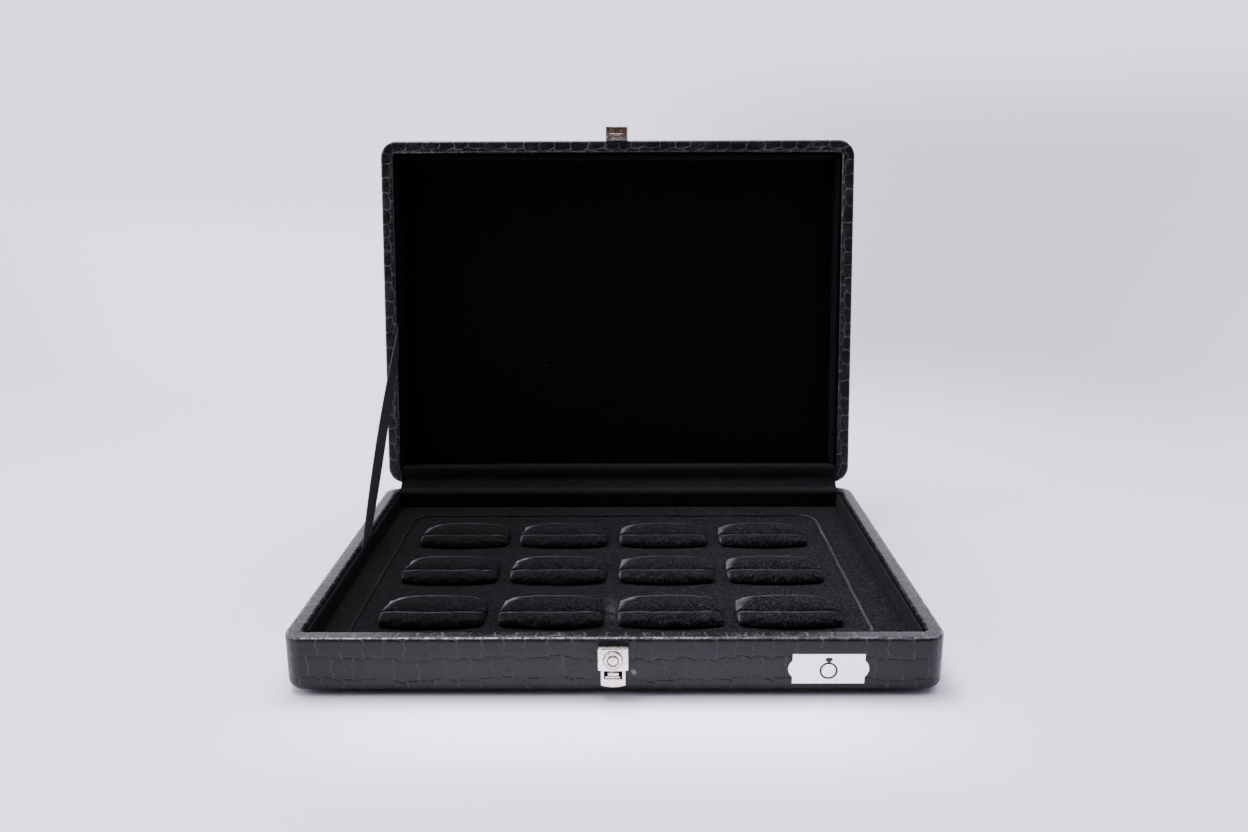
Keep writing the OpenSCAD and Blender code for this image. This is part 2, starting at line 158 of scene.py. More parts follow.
# Lock and its leaf spring: the CAD's sizes, and the rounded details added to them
LOCK_PROUD = 3.2
RING_MID = 2.68
RING_T = 0.58
RING_OUTER = 3.53
RING_PROUD = 0.38
BUTTON_R = 1.72
DOME_RISE = 0.3
PLATE_DROP = 13.55
PLATE_H = 1.1
PLATE_SINK = 0.55
PLATE_T = 0.2
CATCH_DROP = 6.85
LEAF_OUT = 0.6
LEAF_TOP = 4.6
LEAF_W = 4.0
LEAF_T = 0.25
YOKE_HALF = 4.95
YOKE_H = 1.1
CATCH_HALF_W = 1.2
CATCH_HALF_H = 0.8


# ---- Meshes ----

def add_object(name, data):
    added = bpy.data.objects.new(name, data)
    bpy.context.scene.collection.objects.link(added)
    return added


def make_piece(name, points, faces, material, values=None):
    """A smooth mesh object from points in millimetres; values are named per-point numbers."""
    mesh = bpy.data.meshes.new(name)
    mesh.from_pydata((np.asarray(points) * MM).tolist(), [], [list(f) for f in faces])
    mesh.polygons.foreach_set("use_smooth", np.ones(len(mesh.polygons), bool))
    for key, numbers in (values or {}).items():
        layer = mesh.attributes.new(key, "FLOAT", "POINT")
        layer.data.foreach_set("value", np.asarray(numbers, np.float32))
    mesh.materials.append(material)
    mesh.validate()
    piece = add_object(name, mesh)
    return piece


def lattice_faces(index, wrap_rows=False, wrap_cols=False):
    """Quads over a table of point numbers."""
    if wrap_rows:
        index = np.concatenate([index, index[:1]])
    if wrap_cols:
        index = np.concatenate([index, index[:, :1]], 1)
    quads = [index[:-1, :-1], index[:-1, 1:], index[1:, 1:], index[1:, :-1]]
    return np.stack(quads, -1).reshape(-1, 4)


def rows_mesh(rows, wrap_rows=False, wrap_cols=False):
    """Points, their numbers as a table, and quads over rows with equally many points."""
    points = np.concatenate(rows)
    index = np.arange(len(points)).reshape(len(rows), -1)
    return points, index, lattice_faces(index, wrap_rows, wrap_cols)


def stops(low, high, step, radius=0.0):
    """Lattice stops from low to high, closer together where an edge is rounded."""
    inner = np.linspace(low + radius, high - radius, max(2, round((high - low) / step)))
    if not radius:
        return inner
    curve = radius * (1 - np.cos(np.linspace(0, math.pi / 2, 4)[:-1]))
    return np.concatenate([low + curve, inner, high - curve[::-1]])


def box_lattice(xs, ys, zs):
    """Points and outward quads of a closed box surface through the given stops."""
    index = np.full((len(xs), len(ys), len(zs)), -1)
    shell = np.ones_like(index, bool)
    shell[1:-1, 1:-1, 1:-1] = False
    index[shell] = np.arange(shell.sum())
    i, j, k = np.nonzero(shell)
    faces = []
    for axis, turn in enumerate((1, -1, 1)):
        faces.append(lattice_faces(index.take(0, axis))[:, ::turn])
        faces.append(lattice_faces(index.take(-1, axis))[:, ::-turn])
    return np.stack([xs[i], ys[j], zs[k]], 1), np.concatenate(faces)


def soft_box(low, high, radius, step):
    """A box whose edges are rounded, with a lattice fine enough to be shaped."""
    low, high = np.asarray(low, float), np.asarray(high, float)
    points, faces = box_lattice(*(stops(a, b, step, radius) for a, b in zip(low, high)))
    core = np.clip(points, low + radius, high - radius)
    away = points - core
    length = np.linalg.norm(away, axis=1, keepdims=True)
    return core + away / np.maximum(length, 1e-9) * np.minimum(radius, length * 1e6), faces


def smooth_step(t):
    t = np.clip(t, 0, 1)
    return t * t * (3 - 2 * t)


def ripple(points, wavelength, seed):
    """Smooth noise from -1 to 1 over points in any number of dimensions."""
    random = np.random.default_rng(seed)
    points = np.asarray(points, float)
    total = np.zeros(len(points))
    for _ in range(8):
        direction = random.normal(size=points.shape[1])
        direction /= np.linalg.norm(direction)
        turns = 2 * math.pi / (wavelength * random.uniform(0.6, 1.5))
        total += np.sin(points @ direction * turns + random.uniform(0, 2 * math.pi))
    return total / 4


# ---- Materials ----

class Value:
    """A number in a shader, for the same arithmetic as any other number."""

    def __init__(self, material, output):
        self.material, self.output = material, output

    def apply(self, operation, *others):
        inputs = dict(enumerate((self, *others)))
        return add_node(self.material, "Math", inputs, operation=operation)

    def ranged(self, low, high, to_low=0.0, to_high=1.0):
        """This value's place between low and high, smoothly, from to_low to to_high."""
        inputs = {0: self, 1: low, 2: high, 3: to_low, 4: to_high}
        return add_node(self.material, "MapRange", inputs, interpolation_type="SMOOTHSTEP")

    __add__ = __radd__ = lambda self, other: self.apply("ADD", other)
    __sub__ = lambda self, other: self.apply("SUBTRACT", other)
    __mul__ = __rmul__ = lambda self, other: self.apply("MULTIPLY", other)
    __truediv__ = lambda self, other: self.apply("DIVIDE", other)
    __pow__ = lambda self, other: self.apply("POWER", other)


def feed(node, key, value):
    """Sets a node's input to a plain value, or links it to another node's output."""
    if isinstance(value, Value):
        value.material.node_tree.links.new(value.output, node.inputs[key])
    else:
        node.inputs[key].default_value = value


def add_node(material, kind, inputs=None, output=0, **settings):
    node = material.node_tree.nodes.new("ShaderNode" + kind)
    for key, value in settings.items():
        setattr(node, key, value)
    for key, value in (inputs or {}).items():
        feed(node, key, value)
    return Value(material, node.outputs[output])


def new_material(name, values):
    material = bpy.data.materials.new(name)
    material.use_nodes = True
    shader = material.node_tree.nodes["Principled BSDF"]
    for key, value in values.items():
        shader.inputs[key].default_value = value
    return material, shader


def object_place(material, scale=(1, 1, 1)):
    """The place on the object in metres, stretched by a factor along each axis."""
    place = add_node(material, "TexCoord", output="Object")
    return add_node(material, "Mapping", {"Vector": place, "Scale": scale})


def split(place):
    """The three numbers of a place."""
    return [add_node(place.material, "SeparateXYZ", {0: place}, output=axis) for axis in range(3)]


def noise(place, scale, detail=2.0, roughness=0.5):
    """Noise from 0 to 1, with about scale waves to the metre."""
    inputs = {"Vector": place, "Scale": scale, "Detail": detail, "Roughness": roughness}
    return add_node(place.material, "TexNoise", inputs)


def blend_colors(share, a, b):
    return add_node(share.material, "Mix", {0: share, 6: a, 7: b}, output=2, data_type="RGBA")


def attribute(material, name):
    return add_node(material, "Attribute", output="Fac", attribute_name=name)


def bump(height, distance_mm):
    inputs = {"Height": height, "Strength": 1.0, "Distance": distance_mm * MM}
    return add_node(height.material, "Bump", inputs)


def grey(value, tint=(1.0, 0.97, 1.08)):
    """A grey, a little cool unless it has its own tint."""
    return (value * tint[0], value * tint[1], value * tint[2], 1.0)


def on_both(operation, on_numbers):
    """A function that works on shader values and on numpy arrays alike."""
    def apply(first, *others):
        if isinstance(first, Value):
            return first.apply(operation, *others)
        return on_numbers(first, *others)
    return apply


sine = on_both("SINE", np.sin)
floored = on_both("FLOOR", np.floor)
higher = on_both("MAXIMUM", np.maximum)
absolute = on_both("ABSOLUTE", np.abs)
root = on_both("SQRT", np.sqrt)


def crack_distances(u, v):
    """Distance from the nearest crack between embossed scales, at a place in millimetres,
    and how much nearer the scale's side is than its end.

    The scales are bricks with rounded corners and arched ends, bent by slow waves. They
    repeat after PERIOD along u, so that they meet where the skin's ends join.
    """
    turn = 2 * math.pi / PERIOD
    across = u / CELL_W + 0.35 * sine(u * (5 * turn) + 1) + 0.12 * sine(u * (19 * turn) + v * 0.1)
    across = across + 0.04 * sine(v * 1.3 + u * (31 * turn))
    part = across - floored(across)
    down = v / CELL_H + 0.07 * sine(u * (9 * turn) + 2) + 0.05 * sine(u * (37 * turn) + 0.4)
    down = down + CELL_ARCH * sine(part * 2.2 + 0.9)
    row = floored(down)
    across = across + row * 0.5
    to_side = (absolute(across - floored(across) - 0.5) * -1 + 0.5) * CELL_W
    to_end = (absolute(down - row - 0.5) * -1 + 0.5) * CELL_H
    near_side = higher(to_side * -1 + CELL_R, 0.0)
    near_end = higher(to_end * -1 + CELL_R, 0.0)
    gap = root(near_side * near_side + near_end * near_end) * -1 + CELL_R
    return gap, to_end - to_side


# Numbers inside the materials are shares, greys, and noise scales to the metre

def leatherette_material():
    """Black embossed leatherette: satin scales, cracks with painted highlights on their lit sides
    and lips, fine wrinkles and ribs.
    """
    material, shader = new_material(
        "croc_leatherette", {"Specular IOR Level": 0.23, "Coat Roughness": 0.14}
    )
    place = object_place(material)
    u, v, _ = split(add_node(material, "UVMap"))
    gap, sideways = crack_distances(u, v)
    broken = noise(place, 190, 3, 0.6).ranged(0.42, 0.58, 0.15, 1)
    crack = gap.ranged(0.2, 0.02) * broken
    upright = crack * sideways.ranged(-0.3, 0.3)
    lips = gap.ranged(0.16, 0.3) * gap.ranged(0.55, 0.3) * broken
    warped = noise(place, 420, 2) * 0.004
    fine_place = add_node(material, "VectorMath", {0: place, 1: warped}, operation="ADD")
    cells = add_node(
        material, "TexVoronoi", {"Vector": fine_place, "Scale": 560},
        feature="DISTANCE_TO_EDGE",
    )
    wrinkle = cells.ranged(0.08, 0.0) * noise(place, 170, 2).ranged(0.42, 0.62)
    grain = noise(place, 1100, 4, 0.7)
    clouds = noise(place, 60, 3) * 0.5 + grain * 0.5
    ribs = sine(u * 4.6 + v * 1.6 + noise(place, 180, 2) * 5) * attribute(material, "ribs")
    skin = blend_colors(clouds.ranged(0.35, 0.65), grey(0.0045), grey(0.0095))
    cracked = blend_colors(crack, skin, grey(0.0025))
    # Painted highlight: upright cracks, the lips beside all cracks and the wrinkles are lightened
    # where light catches them
    rubbed_and_highlit = blend_colors(upright * 0.85 + lips * 0.2 + wrinkle * 0.14, cracked, grey(0.06))
    # Painted highlight on the rim's cracks, where light from above catches them
    rim_crack_highlight = attribute(material, "rim_crack_highlight") * (gap.ranged(0.3, 0.05) * 0.8 + wrinkle * 0.35)
    rim_highlighted = blend_colors(rim_crack_highlight * clouds.ranged(0.3, 0.6), rubbed_and_highlit, grey(0.13))
    # Painted shade in the hasp's dent
    dent_shaded = blend_colors(attribute(material, "press"), rim_highlighted, grey(0.002))
    # Painted glint on a small scratch
    scratch_glinting = blend_colors(attribute(material, "scratch_glint"), dent_shaded, grey(0.3))
    feed(shader, "Base Color", scratch_glinting)
    feed(shader, "Roughness", grain.ranged(0.3, 0.7, 0.24, 0.36) + crack * 0.15)
    polish = attribute(material, "shine") * noise(place, 420, 4, 0.7).ranged(0.44, 0.56)
    feed(shader, "Coat Weight", polish)
    height = gap.ranged(-0.2, 1.0) * 0.3 + lips * 0.35 - crack - wrinkle * 0.35 + grain * 0.5
    feed(shader, "Normal", bump(height + ribs * 0.3, 0.11))
    return material


def velvet_material(name, dark, light, speckle, sheen, edge):
    """Short-pile velvet: near black face on, lighter where it is rubbed, with a painted sheen on
    edges that face the lights and painted shade towards the left. All its values are greys, except
    sheen, which is a weight."""
    material, shader = new_material(
        name,
        {
            "Roughness": 0.95,
            "Specular IOR Level": 0.05,
            "Sheen Roughness": 0.4,
            "Sheen Tint": (0.9, 0.87, 1.0, 1.0),
        },
    )
    place = object_place(material)
    patches = noise(place, 110, 4, 0.65).ranged(0.36, 0.66)
    strokes = noise(object_place(material, (260, 700, 260)), 1, 3, 0.6).ranged(0.3, 0.7)
    tuft = noise(place, 1500, 3, 0.75)
    pile = blend_colors(patches * 0.6 + strokes * 0.4, grey(dark), grey(light))
    # Painted shade: darker towards the left, in colour and in sheen
    left_shading = split(place)[0].ranged(-0.11, 0.06, 0.3, 1.0)
    feed(shader, "Sheen Weight", left_shading * sheen)
    left_shaded_pile = blend_colors(left_shading, grey(dark * 0.6), pile)
    flecks = tuft.ranged(0.48, 0.64) * 0.5 + noise(place, 800, 4, 0.85).ranged(0.5, 0.66) * 0.5
    tufted = blend_colors(flecks * left_shading, left_shaded_pile, grey(speckle))
    # Painted sheen on edges that face the lights, given by the edge mark
    edge_sheen = blend_colors(attribute(material, "edge") * tuft.ranged(0.2, 0.45), tufted, grey(edge))
    rubbed_and_highlit = attribute(material, "rubbed_and_highlit") * tuft.ranged(0.42, 0.62)
    worn_and_highlit = blend_colors(rubbed_and_highlit, edge_sheen, (0.085, 0.073, 0.077, 1.0))
    lint = add_node(material, "TexVoronoi", {"Vector": place, "Scale": 52}).ranged(0.016, 0.009)
    feed(shader, "Base Color", blend_colors(lint * 0.8, worn_and_highlit, grey(0.16)))
    feed(shader, "Normal", bump(tuft + strokes * 0.5, 0.3))
    return material


def satin_material():
    """Woven satin ribbon with fine threads across its length."""
    material, shader = new_material(
        "black_satin",
        {"Roughness": 0.42, "Sheen Weight": 0.06, "Anisotropic": 0.4, "Specular IOR Level": 0.3},
    )
    threads = noise(object_place(material, (600, 5200, 600)), 1, 2)
    uneven = noise(object_place(material), 160, 3)
    feed(shader, "Base Color", blend_colors(uneven, grey(0.005), grey(0.012)))
    feed(shader, "Normal", bump(threads, 0.05))
    return material


def nickel_material(name, bright, dull):
    """Nickel plate on cast and stamped metal: lumpy, a little warm, dull where it is worn."""
    material, shader = new_material(name, {"Metallic": 1.0})
    place = object_place(material)
    worn_and_highlit = noise(place, 520, 4, 0.65).ranged(0.38, 0.62)
    pits = noise(place, 1500, 4, 0.65)
    lumps = noise(place, 650, 2)
    feed(shader, "Base Color", blend_colors(worn_and_highlit, bright, dull))
    feed(shader, "Roughness", pits.ranged(0.3, 0.75, 0.24, 0.46))
    feed(shader, "Normal", bump(lumps * 1.6 + pits * 0.5, 0.16))
    return material


def paper_material(name, color, roughness, painted_glow=0.0):
    """Paper or card; glow is painted light: it makes white paper shine brighter than its lamps
    light it.
    """
    material, shader = new_material(
        name,
        {"Specular IOR Level": 0.4, "Emission Color": grey(1.0), "Emission Strength": painted_glow},
    )
    place = object_place(material)
    fibres = noise(place, 1300, 4, 0.6)
    stains = noise(place, 150, 3).ranged(0.3, 0.75)
    feed(shader, "Base Color", blend_colors(stains, grey(color), grey(color * 0.9)))
    feed(shader, "Roughness", fibres.ranged(0.3, 0.7, roughness, roughness + 0.12))
    feed(shader, "Normal", bump(fibres, 0.02))
    return material


def fibreboard_material():
    material, shader = new_material("fibreboard", {"Roughness": 0.9})
    chips = noise(object_place(material, (500, 500, 1500)), 1, 5, 0.65)
    feed(shader, "Base Color", blend_colors(chips, (0.30, 0.21, 0.12, 1), (0.50, 0.38, 0.25, 1)))
    feed(shader, "Normal", bump(chips, 0.1))
    return material


LEATHER = leatherette_material()
# The lid's velvet is a darker copy of the liners' velvet: painted shade for the lid's shaded inside
VELVET_LINER = velvet_material("liner_velvet", 0.002, 0.0055, 0.022, 0.03, 0.03)
VELVET_LID_SHADED = velvet_material("lid_velvet_shaded", 0.002, 0.0025, 0.004, 0.012, 0.01)
VELVET_TRAY = velvet_material("tray_velvet", 0.001, 0.003, 0.034, 0.014, 0.1)
VELVET_CLOTH = velvet_material("cloth_velvet", 0.004, 0.007, 0.014, 0.04, 0.014)
SATIN = satin_material()
NICKEL = nickel_material("nickel_plate", (0.93, 0.87, 0.81, 1.0), (0.78, 0.67, 0.58, 1.0))
HASP_NICKEL = nickel_material("worn_nickel", (0.92, 0.86, 0.80, 1.0), (0.50, 0.39, 0.31, 1.0))
# Dark metal in the lock's grooves; round the button it is painted shade
DARK_GROOVES = nickel_material("groove_dark_nickel", (0.16, 0.13, 0.12, 1.0), (0.05, 0.04, 0.04, 1.0))
# The label glows a little: painted light
PAPER = paper_material("label_paper", 0.92, 0.42, 1.1)
INK = paper_material("label_ink", 0.01, 0.5)
BOARD = fibreboard_material()
BOARD_PAPER = paper_material("black_board_paper", 0.012, 0.6)


# ---- Embossed leatherette ----

class Track:
    """Stations round a rectangle with rounded corners, counted from the front left one."""

    CORNERS = np.array([(-1, -1), (1, -1), (1, 1), (-1, 1)], float)

    def __init__(self, half_size, radius, counts, arc_steps):
        self.half_size, self.radius, self.counts = np.array(half_size), radius, counts
        signs, angles, runs, run = [], [], [], 0.0
        along_arc = np.arange(arc_steps) / arc_steps
        for side in range(4):
            start, end = self.CORNERS[side], self.CORNERS[(side + 1) % 4]
            length = 2 * (half_size[side % 2] - radius)
            along = np.arange(counts[side % 2]) / counts[side % 2]
            signs += [start + along[:, None] * (end - start), np.tile(end, (arc_steps, 1))]
            angles += [np.full(len(along), side * 90 - 90.0), side * 90 - 90 + 90 * along_arc]
            runs += [run + along * length, run + length + along_arc * radius * math.pi / 2]
            run += length + radius * math.pi / 2
        self.signs = np.concatenate(signs)
        self.angle = np.radians(np.concatenate(angles))
        self.out = np.stack([np.cos(self.angle), np.sin(self.angle)], 1)
        self.run = np.concatenate(runs)
        self.count = len(self.run)

    def ring(self, depth):
        """The stations at a depth inside the outline; the hidden turn-in keeps a small radius."""
        radius = max(self.radius, depth + 0.4)
        return self.signs * (self.half_size - radius) + self.out * (radius - depth)


WALL_ARC_STEPS = 24


def wall_track(step):
    counts = [4 * round(2 * (half - CORNER_R) / step / 4) for half in (HALF_W, HALF_D)]
    return Track((HALF_W, HALF_D), CORNER_R, counts, WALL_ARC_STEPS)


def skin_path(height, end, step):
    """Rows over the wrapped wall, from inside the rim over it, down the face and round
    its far edge to the depth end: depth, distance below the rim and the row's normal."""
    turns = [(WALL_T, 0, RIM_R), (0, 0, RIM_R), (0, height, EDGE_R)]
    normals = [(1, 0), (0, 1), (-1, 0), (0, -1)]
    rows, at = [], np.array([WALL_T, TURN_IN], float)
    for (depth, below, radius), before, after in zip(turns, normals, normals[1:]):
        before, after = np.array(before, float), np.array(after, float)
        centre = np.array([depth, -below], float) - radius * (before + after)
        arc_start = centre + radius * before
        goal = np.array([arc_start[0], -arc_start[1]])
        count = max(1, round(np.linalg.norm(goal - at) / step))
        for t in np.arange(count) / count:
            rows.append((*(at + t * (goal - at)), *before))
        for turn in np.linspace(0, math.pi / 2, max(4, round(radius * 1.6 / step)) + 1)[:-1]:
            normal = before * math.cos(turn) + after * math.sin(turn)
            place = centre + radius * normal
            rows.append((place[0], -place[1], *normal))
        at = np.array([(centre + radius * after)[0], -(centre + radius * after)[1]])
    count = max(1, round((end - at[0]) / (2 * step)))
    for t in np.arange(count + 1) / count:
        rows.append((at[0] + t * (end - at[0]), height, 0, -1))
    return np.array(rows)


def inner_path(height, end):
    """The skin's hidden face, from the far edge back up to the turn-in."""
    return [
        (end, height - SKIN_T), (EDGE_R, height - SKIN_T), (SKIN_T, height - EDGE_R),
        (SKIN_T, height / 2), (SKIN_T, SKIN_T), (WALL_T - SKIN_T, SKIN_T),
        (WALL_T - SKIN_T, TURN_IN),
    ]


def emboss(u, v):
    """How far the skin sinks at a place: 0 on a scale's crown, 1 in a crack."""
    gap = np.clip(crack_distances(u, v)[0], 0, None)
    return 0.6 * np.exp(-(gap / 0.45) ** 2) + 0.4 * np.exp(-gap)


def corner_pleats(walls, depth, below):
    """Small folds where the skin gathers on the rim at each upright corner."""
    quarter = walls.angle % (math.pi / 2)
    on_rim = below < RIM_R + 0.8 and depth < WALL_T - 0.3
    folds = 1 - np.abs(np.sin(quarter * 15 + 0.7 * np.sin(quarter * 9))) ** 0.6
    return on_rim * folds * np.sin(2 * quarter)


def skin_rows(walls, path, rim_z, rim_up, shift):
    """Points and surface places for every row of the wrapped skin; rim_up is 1 or -1."""
    lengths = np.linalg.norm(np.diff(path[:, :2], axis=0), axis=1)
    points, places = [], []
    for (depth, below, inward, up), v in zip(path, np.concatenate([[0], np.cumsum(lengths)])):
        place = np.column_stack([walls.run, np.full(walls.count, v + shift)])
        sunk = RELIEF_DEPTH * (emboss(*place.T) + corner_pleats(walls, depth, below))
        side = walls.ring(depth) + walls.out * (inward * sunk)[:, None]
        points.append(np.column_stack([side, rim_z - rim_up * (below + up * sunk)]))
        places.append(place)
    return points, places


def hidden_rows(walls, path, rim_z, rim_up):
    """Points and surface places for the skin's hidden face."""
    points = [
        np.column_stack([walls.ring(depth), np.full(walls.count, rim_z - rim_up * below)])
        for depth, below in path
    ]
    return points, [np.column_stack([walls.run, np.zeros(walls.count)])] * len(path)


def lay_surface(piece, places):
    """Gives each face corner its place on the flat skin; a face never spans its joint."""
    mesh = piece.data
    corner_point = np.empty(len(mesh.loops), int)
    mesh.loops.foreach_get("vertex_index", corner_point)
    start = np.empty(len(mesh.polygons), int)
    mesh.polygons.foreach_get("loop_start", start)
    flat = places[corner_point]
    furthest = np.maximum.reduceat(flat[:, 0], start)
    count = np.diff(np.append(start, len(flat)))
    behind = np.repeat(furthest, count) - flat[:, 0] > PERIOD / 2
    flat[behind, 0] += PERIOD
    layer = mesh.uv_layers.new(name="surface")
    layer.data.foreach_set("uv", flat.astype(np.float32).ravel())


def leather_piece(name, points, faces, places, marks=None):
    """A piece of the skin; a mark that it leaves out is 0 all over it."""
    piece = make_piece(name, points, faces, LEATHER, marks)
    lay_surface(piece, places)
    return piece


def base_leather():
    """The base's skin: over the rim, down the walls and under the floor."""
    walls = wall_track(BASE_STEP)
    height = RIM_Z - BASE_Z
    path = skin_path(height, TURN_UNDER, BASE_ROW_STEP)
    rows, places = skin_rows(walls, path, RIM_Z, 1, BASE_SHIFT)
    hidden = hidden_rows(walls, inner_path(height, TURN_UNDER), RIM_Z, 1)
    points, _, faces = rows_mesh(rows + hidden[0], wrap_rows=True, wrap_cols=True)
    marks = front_marks(points)
    marks["ribs"] = side_rims(points)
    unseen = np.zeros(len(points) - walls.count * len(rows))
    marks["shine"] = np.append(polished_edges(walls, path, 1, 0.6), unseen)
    # Painted highlight on the rim's cracks
    marks["rim_crack_highlight"] = np.append(0.6 * lit_rim_cracks(walls, path), unseen)
    points[:, 1] += DENT_DEPTH * marks["press"]
    places = np.concatenate(places + hidden[1])
    piece = leather_piece("base_leatherette", points, faces[:, ::-1], places, marks)
    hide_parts("base_cover")
    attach(piece, "base")


def polished_edges(walls, path, outer_share, inner_share):
    """How polished the skin is: it is rubbed smooth along both edges of the rim."""
    depth, below = path[:, 0], path[:, 1]
    outer = (depth < RIM_R * 0.75) & (below < RIM_R * 0.6)
    inner = (depth > WALL_T - RIM_R) & (below < RIM_R)
    return np.repeat(outer_share * outer + inner_share * inner, walls.count)


def lit_rim_cracks(walls, path):
    """1 over the rim, where the cracks are lightened with a painted highlight."""
    on_rim = (path[:, 1] < RIM_R / 2) & (path[:, 0] < WALL_T + 0.1)
    return np.repeat(on_rim.astype(float), walls.count)


def side_rims(points):
    """1 on the tops of the base's side walls, where the skin is stretched into ribs."""
    x, y, z = points.T
    along = smooth_step((HALF_D - 8 - np.abs(y)) / 12)
    return along * (z > RIM_Z - RIM_R) * (np.abs(x) > HALF_W - WALL_T)


LOCK_LOW, LOCK_HIGH = node_corners("lock_case")
LOCK_X = (LOCK_LOW[0] + LOCK_HIGH[0]) / 2


def front_marks(points):
    """The dent that the hasp has pressed above the lock, darkened with painted shade, and a small
    scratch beside it with a painted glint.
    """
    x, y, z = points.T
    on_face = y < -HALF_D + SKIN_T
    across = smooth_step((DENT_HALF_W - np.abs(x - LOCK_X)) / 0.8)
    band = smooth_step((z - RIM_Z + 2.9) / 0.5) * smooth_step((RIM_Z - 0.9 - z) / 0.5)
    # The scratch's painted glint
    glint_x, glint_z = LOCK_X + GLINT_RIGHT, RIM_Z - GLINT_DROP
    slant = (x - glint_x) + 0.5 * (z - glint_z)
    spread = (slant / 0.5) ** 2 + ((z - glint_z) / 0.8) ** 2
    return {"press": across * band * on_face, "scratch_glint": np.exp(-spread) * on_face}


def halved(outer, inner):
    """Faces between a ring of points and a ring with half as many."""
    around = np.append(outer, outer[0])
    return [
        (*around[2 * i : 2 * i + 3], inner[(i + 1) % len(inner)], inner[i])
        for i in range(len(inner))
    ]


def patch(edge, across, up):
    """Fills a ring of points with a four-sided patch of across by up cells."""
    bottom, right = edge[: across + 1], edge[across : across + up + 1]
    top = edge[across + up : 2 * across + up + 1][::-1]
    left = np.concatenate([edge[2 * across + up :], edge[:1]])[::-1]
    s = np.linspace(0, 1, across + 1)[:, None, None]
    t = np.linspace(0, 1, up + 1)[None, :, None]
    ruled = (1 - t) * bottom[:, None] + t * top[:, None] + (1 - s) * left[None] + s * right[None]
    low = (1 - s) * bottom[0] + s * bottom[-1]
    high = (1 - s) * top[0] + s * top[-1]
    return ruled - (1 - t) * low - t * high


def lid_leather():
    """The lid's skin: a strip over its rim and walls, and a panel across its top."""
    walls = wall_track(LID_STEP)
    height = LID_TOP_Z - LID_RIM_Z
    edge = EDGE_R + 0.6
    hidden = hidden_rows(walls, inner_path(height, edge + 1), LID_RIM_Z, -1)
    path = skin_path(height, edge, LID_STEP)
    rows, places = skin_rows(walls, path, LID_RIM_Z, -1, LID_SHIFT)
    rows[-1][:, 2] -= 0.35
    points, index, quads = rows_mesh(hidden[0] + rows, wrap_cols=True)
    places = np.concatenate(hidden[1] + places)
    faces = [*quads, index[0][::-1]]
    # The panel has half the walls' stations, counted from the middle of the front left corner
    start = WALL_ARC_STEPS // 2
    rim = np.roll(index[-1], start)
    half_edge = np.roll(walls.ring(edge + 1.0), start, axis=0)[::2]
    across, up = ((count + WALL_ARC_STEPS) // 2 for count in walls.counts)
    panel = patch(half_edge, across, up).reshape(-1, 2)
    panel_places = panel + (PERIOD, PERIOD)
    panel_top = LID_TOP_Z - RELIEF_DEPTH * emboss(*panel_places.T)
    table = np.arange(len(panel)).reshape(across + 1, up + 1) + len(points)
    border = np.concatenate([table[:-1, 0], table[-1, :-1], table[:0:-1, -1], table[0, :0:-1]])
    faces += [*lattice_faces(table)[:, ::-1], *halved(rim, border)]
    unseen = np.zeros(len(points) - walls.count * len(rows))
    unmarked = np.zeros(len(panel))
    # Polish on the rim's edges, and a painted highlight on the rim's cracks
    marks = {
        "shine": np.concatenate([unseen, polished_edges(walls, path, 0.25, 0.75), unmarked]),
        "rim_crack_highlight": np.concatenate([unseen, 0.45 * lit_rim_cracks(walls, path), unmarked]),
    }
    points = np.concatenate([points, np.column_stack([panel, panel_top])])
    places = np.concatenate([places, panel_places])
    piece = leather_piece("lid_leatherette", opened(points), faces, places, marks)
    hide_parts("lid_cover")
    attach(piece, "lid")


# ---- Velvet ----

def velvet_piece(node, body, points, faces, material, values=None):
    """A velvet piece in a node's place, moving with its body."""
    piece = make_piece(node + "_velvet", points, faces, material, values)
    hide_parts(node)
    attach(piece, body)
    return piece


def liner(node, body, seed):
    """Card wrapped in velvet, with a soft, slightly uneven edge towards the rim."""
    on_lid = body == "lid"
    low, high = closed_corners(node) if on_lid else node_corners(node)
    points, faces = soft_box(low, high, 0.6, 2.2)
    along = points[:, 0] + points[:, 1]
    sag = 0.12 * np.abs(ripple(np.stack([along, along * 0.3], 1), 45, seed))
    middle = (low + high) / 2
    rim_up = -1 if on_lid else 1
    at_rim = (points[:, 2] - middle[2]) * rim_up > 0
    points[:, 2] -= np.where(at_rim, rim_up * sag, 0)
    thin = 0 if (high - low)[0] < (high - low)[1] else 1
    inside = np.sign(-middle[thin])
    faces_in = (points[:, thin] - middle[thin]) * inside > 0
    points[:, thin] += np.where(faces_in, 0.1 * inside * ripple(points, 30, seed + 50), 0)
    if on_lid:
        velvet_piece(node, body, opened(points), faces, VELVET_LID_SHADED)
    else:
        velvet_piece(node, body, points, faces, VELVET_LINER)


def lid_pad():
    """Thin padded panel inside the lid."""
    low, high = closed_corners("lid_pad")
    points, faces = soft_box(low, high, 0.5, 4)
    under = points[:, 2] < (low[2] + high[2]) / 2
    points[:, 2] += np.where(under, 0.1 * ripple(points[:, :2], 60, 11), 0)
    velvet_piece("lid_pad", "lid", opened(points), faces, VELVET_LID_SHADED)


PAD_LOW, PAD_HIGH = node_corners("ring_pad")
PIPING_LOW, PIPING_HIGH = node_corners("tray_piping")
PIPING_W = 1.6
PIPING_CORNER_R = 10.0
HOLDERS = [f"ring_holder_{number}" for number in range(1, 13)]


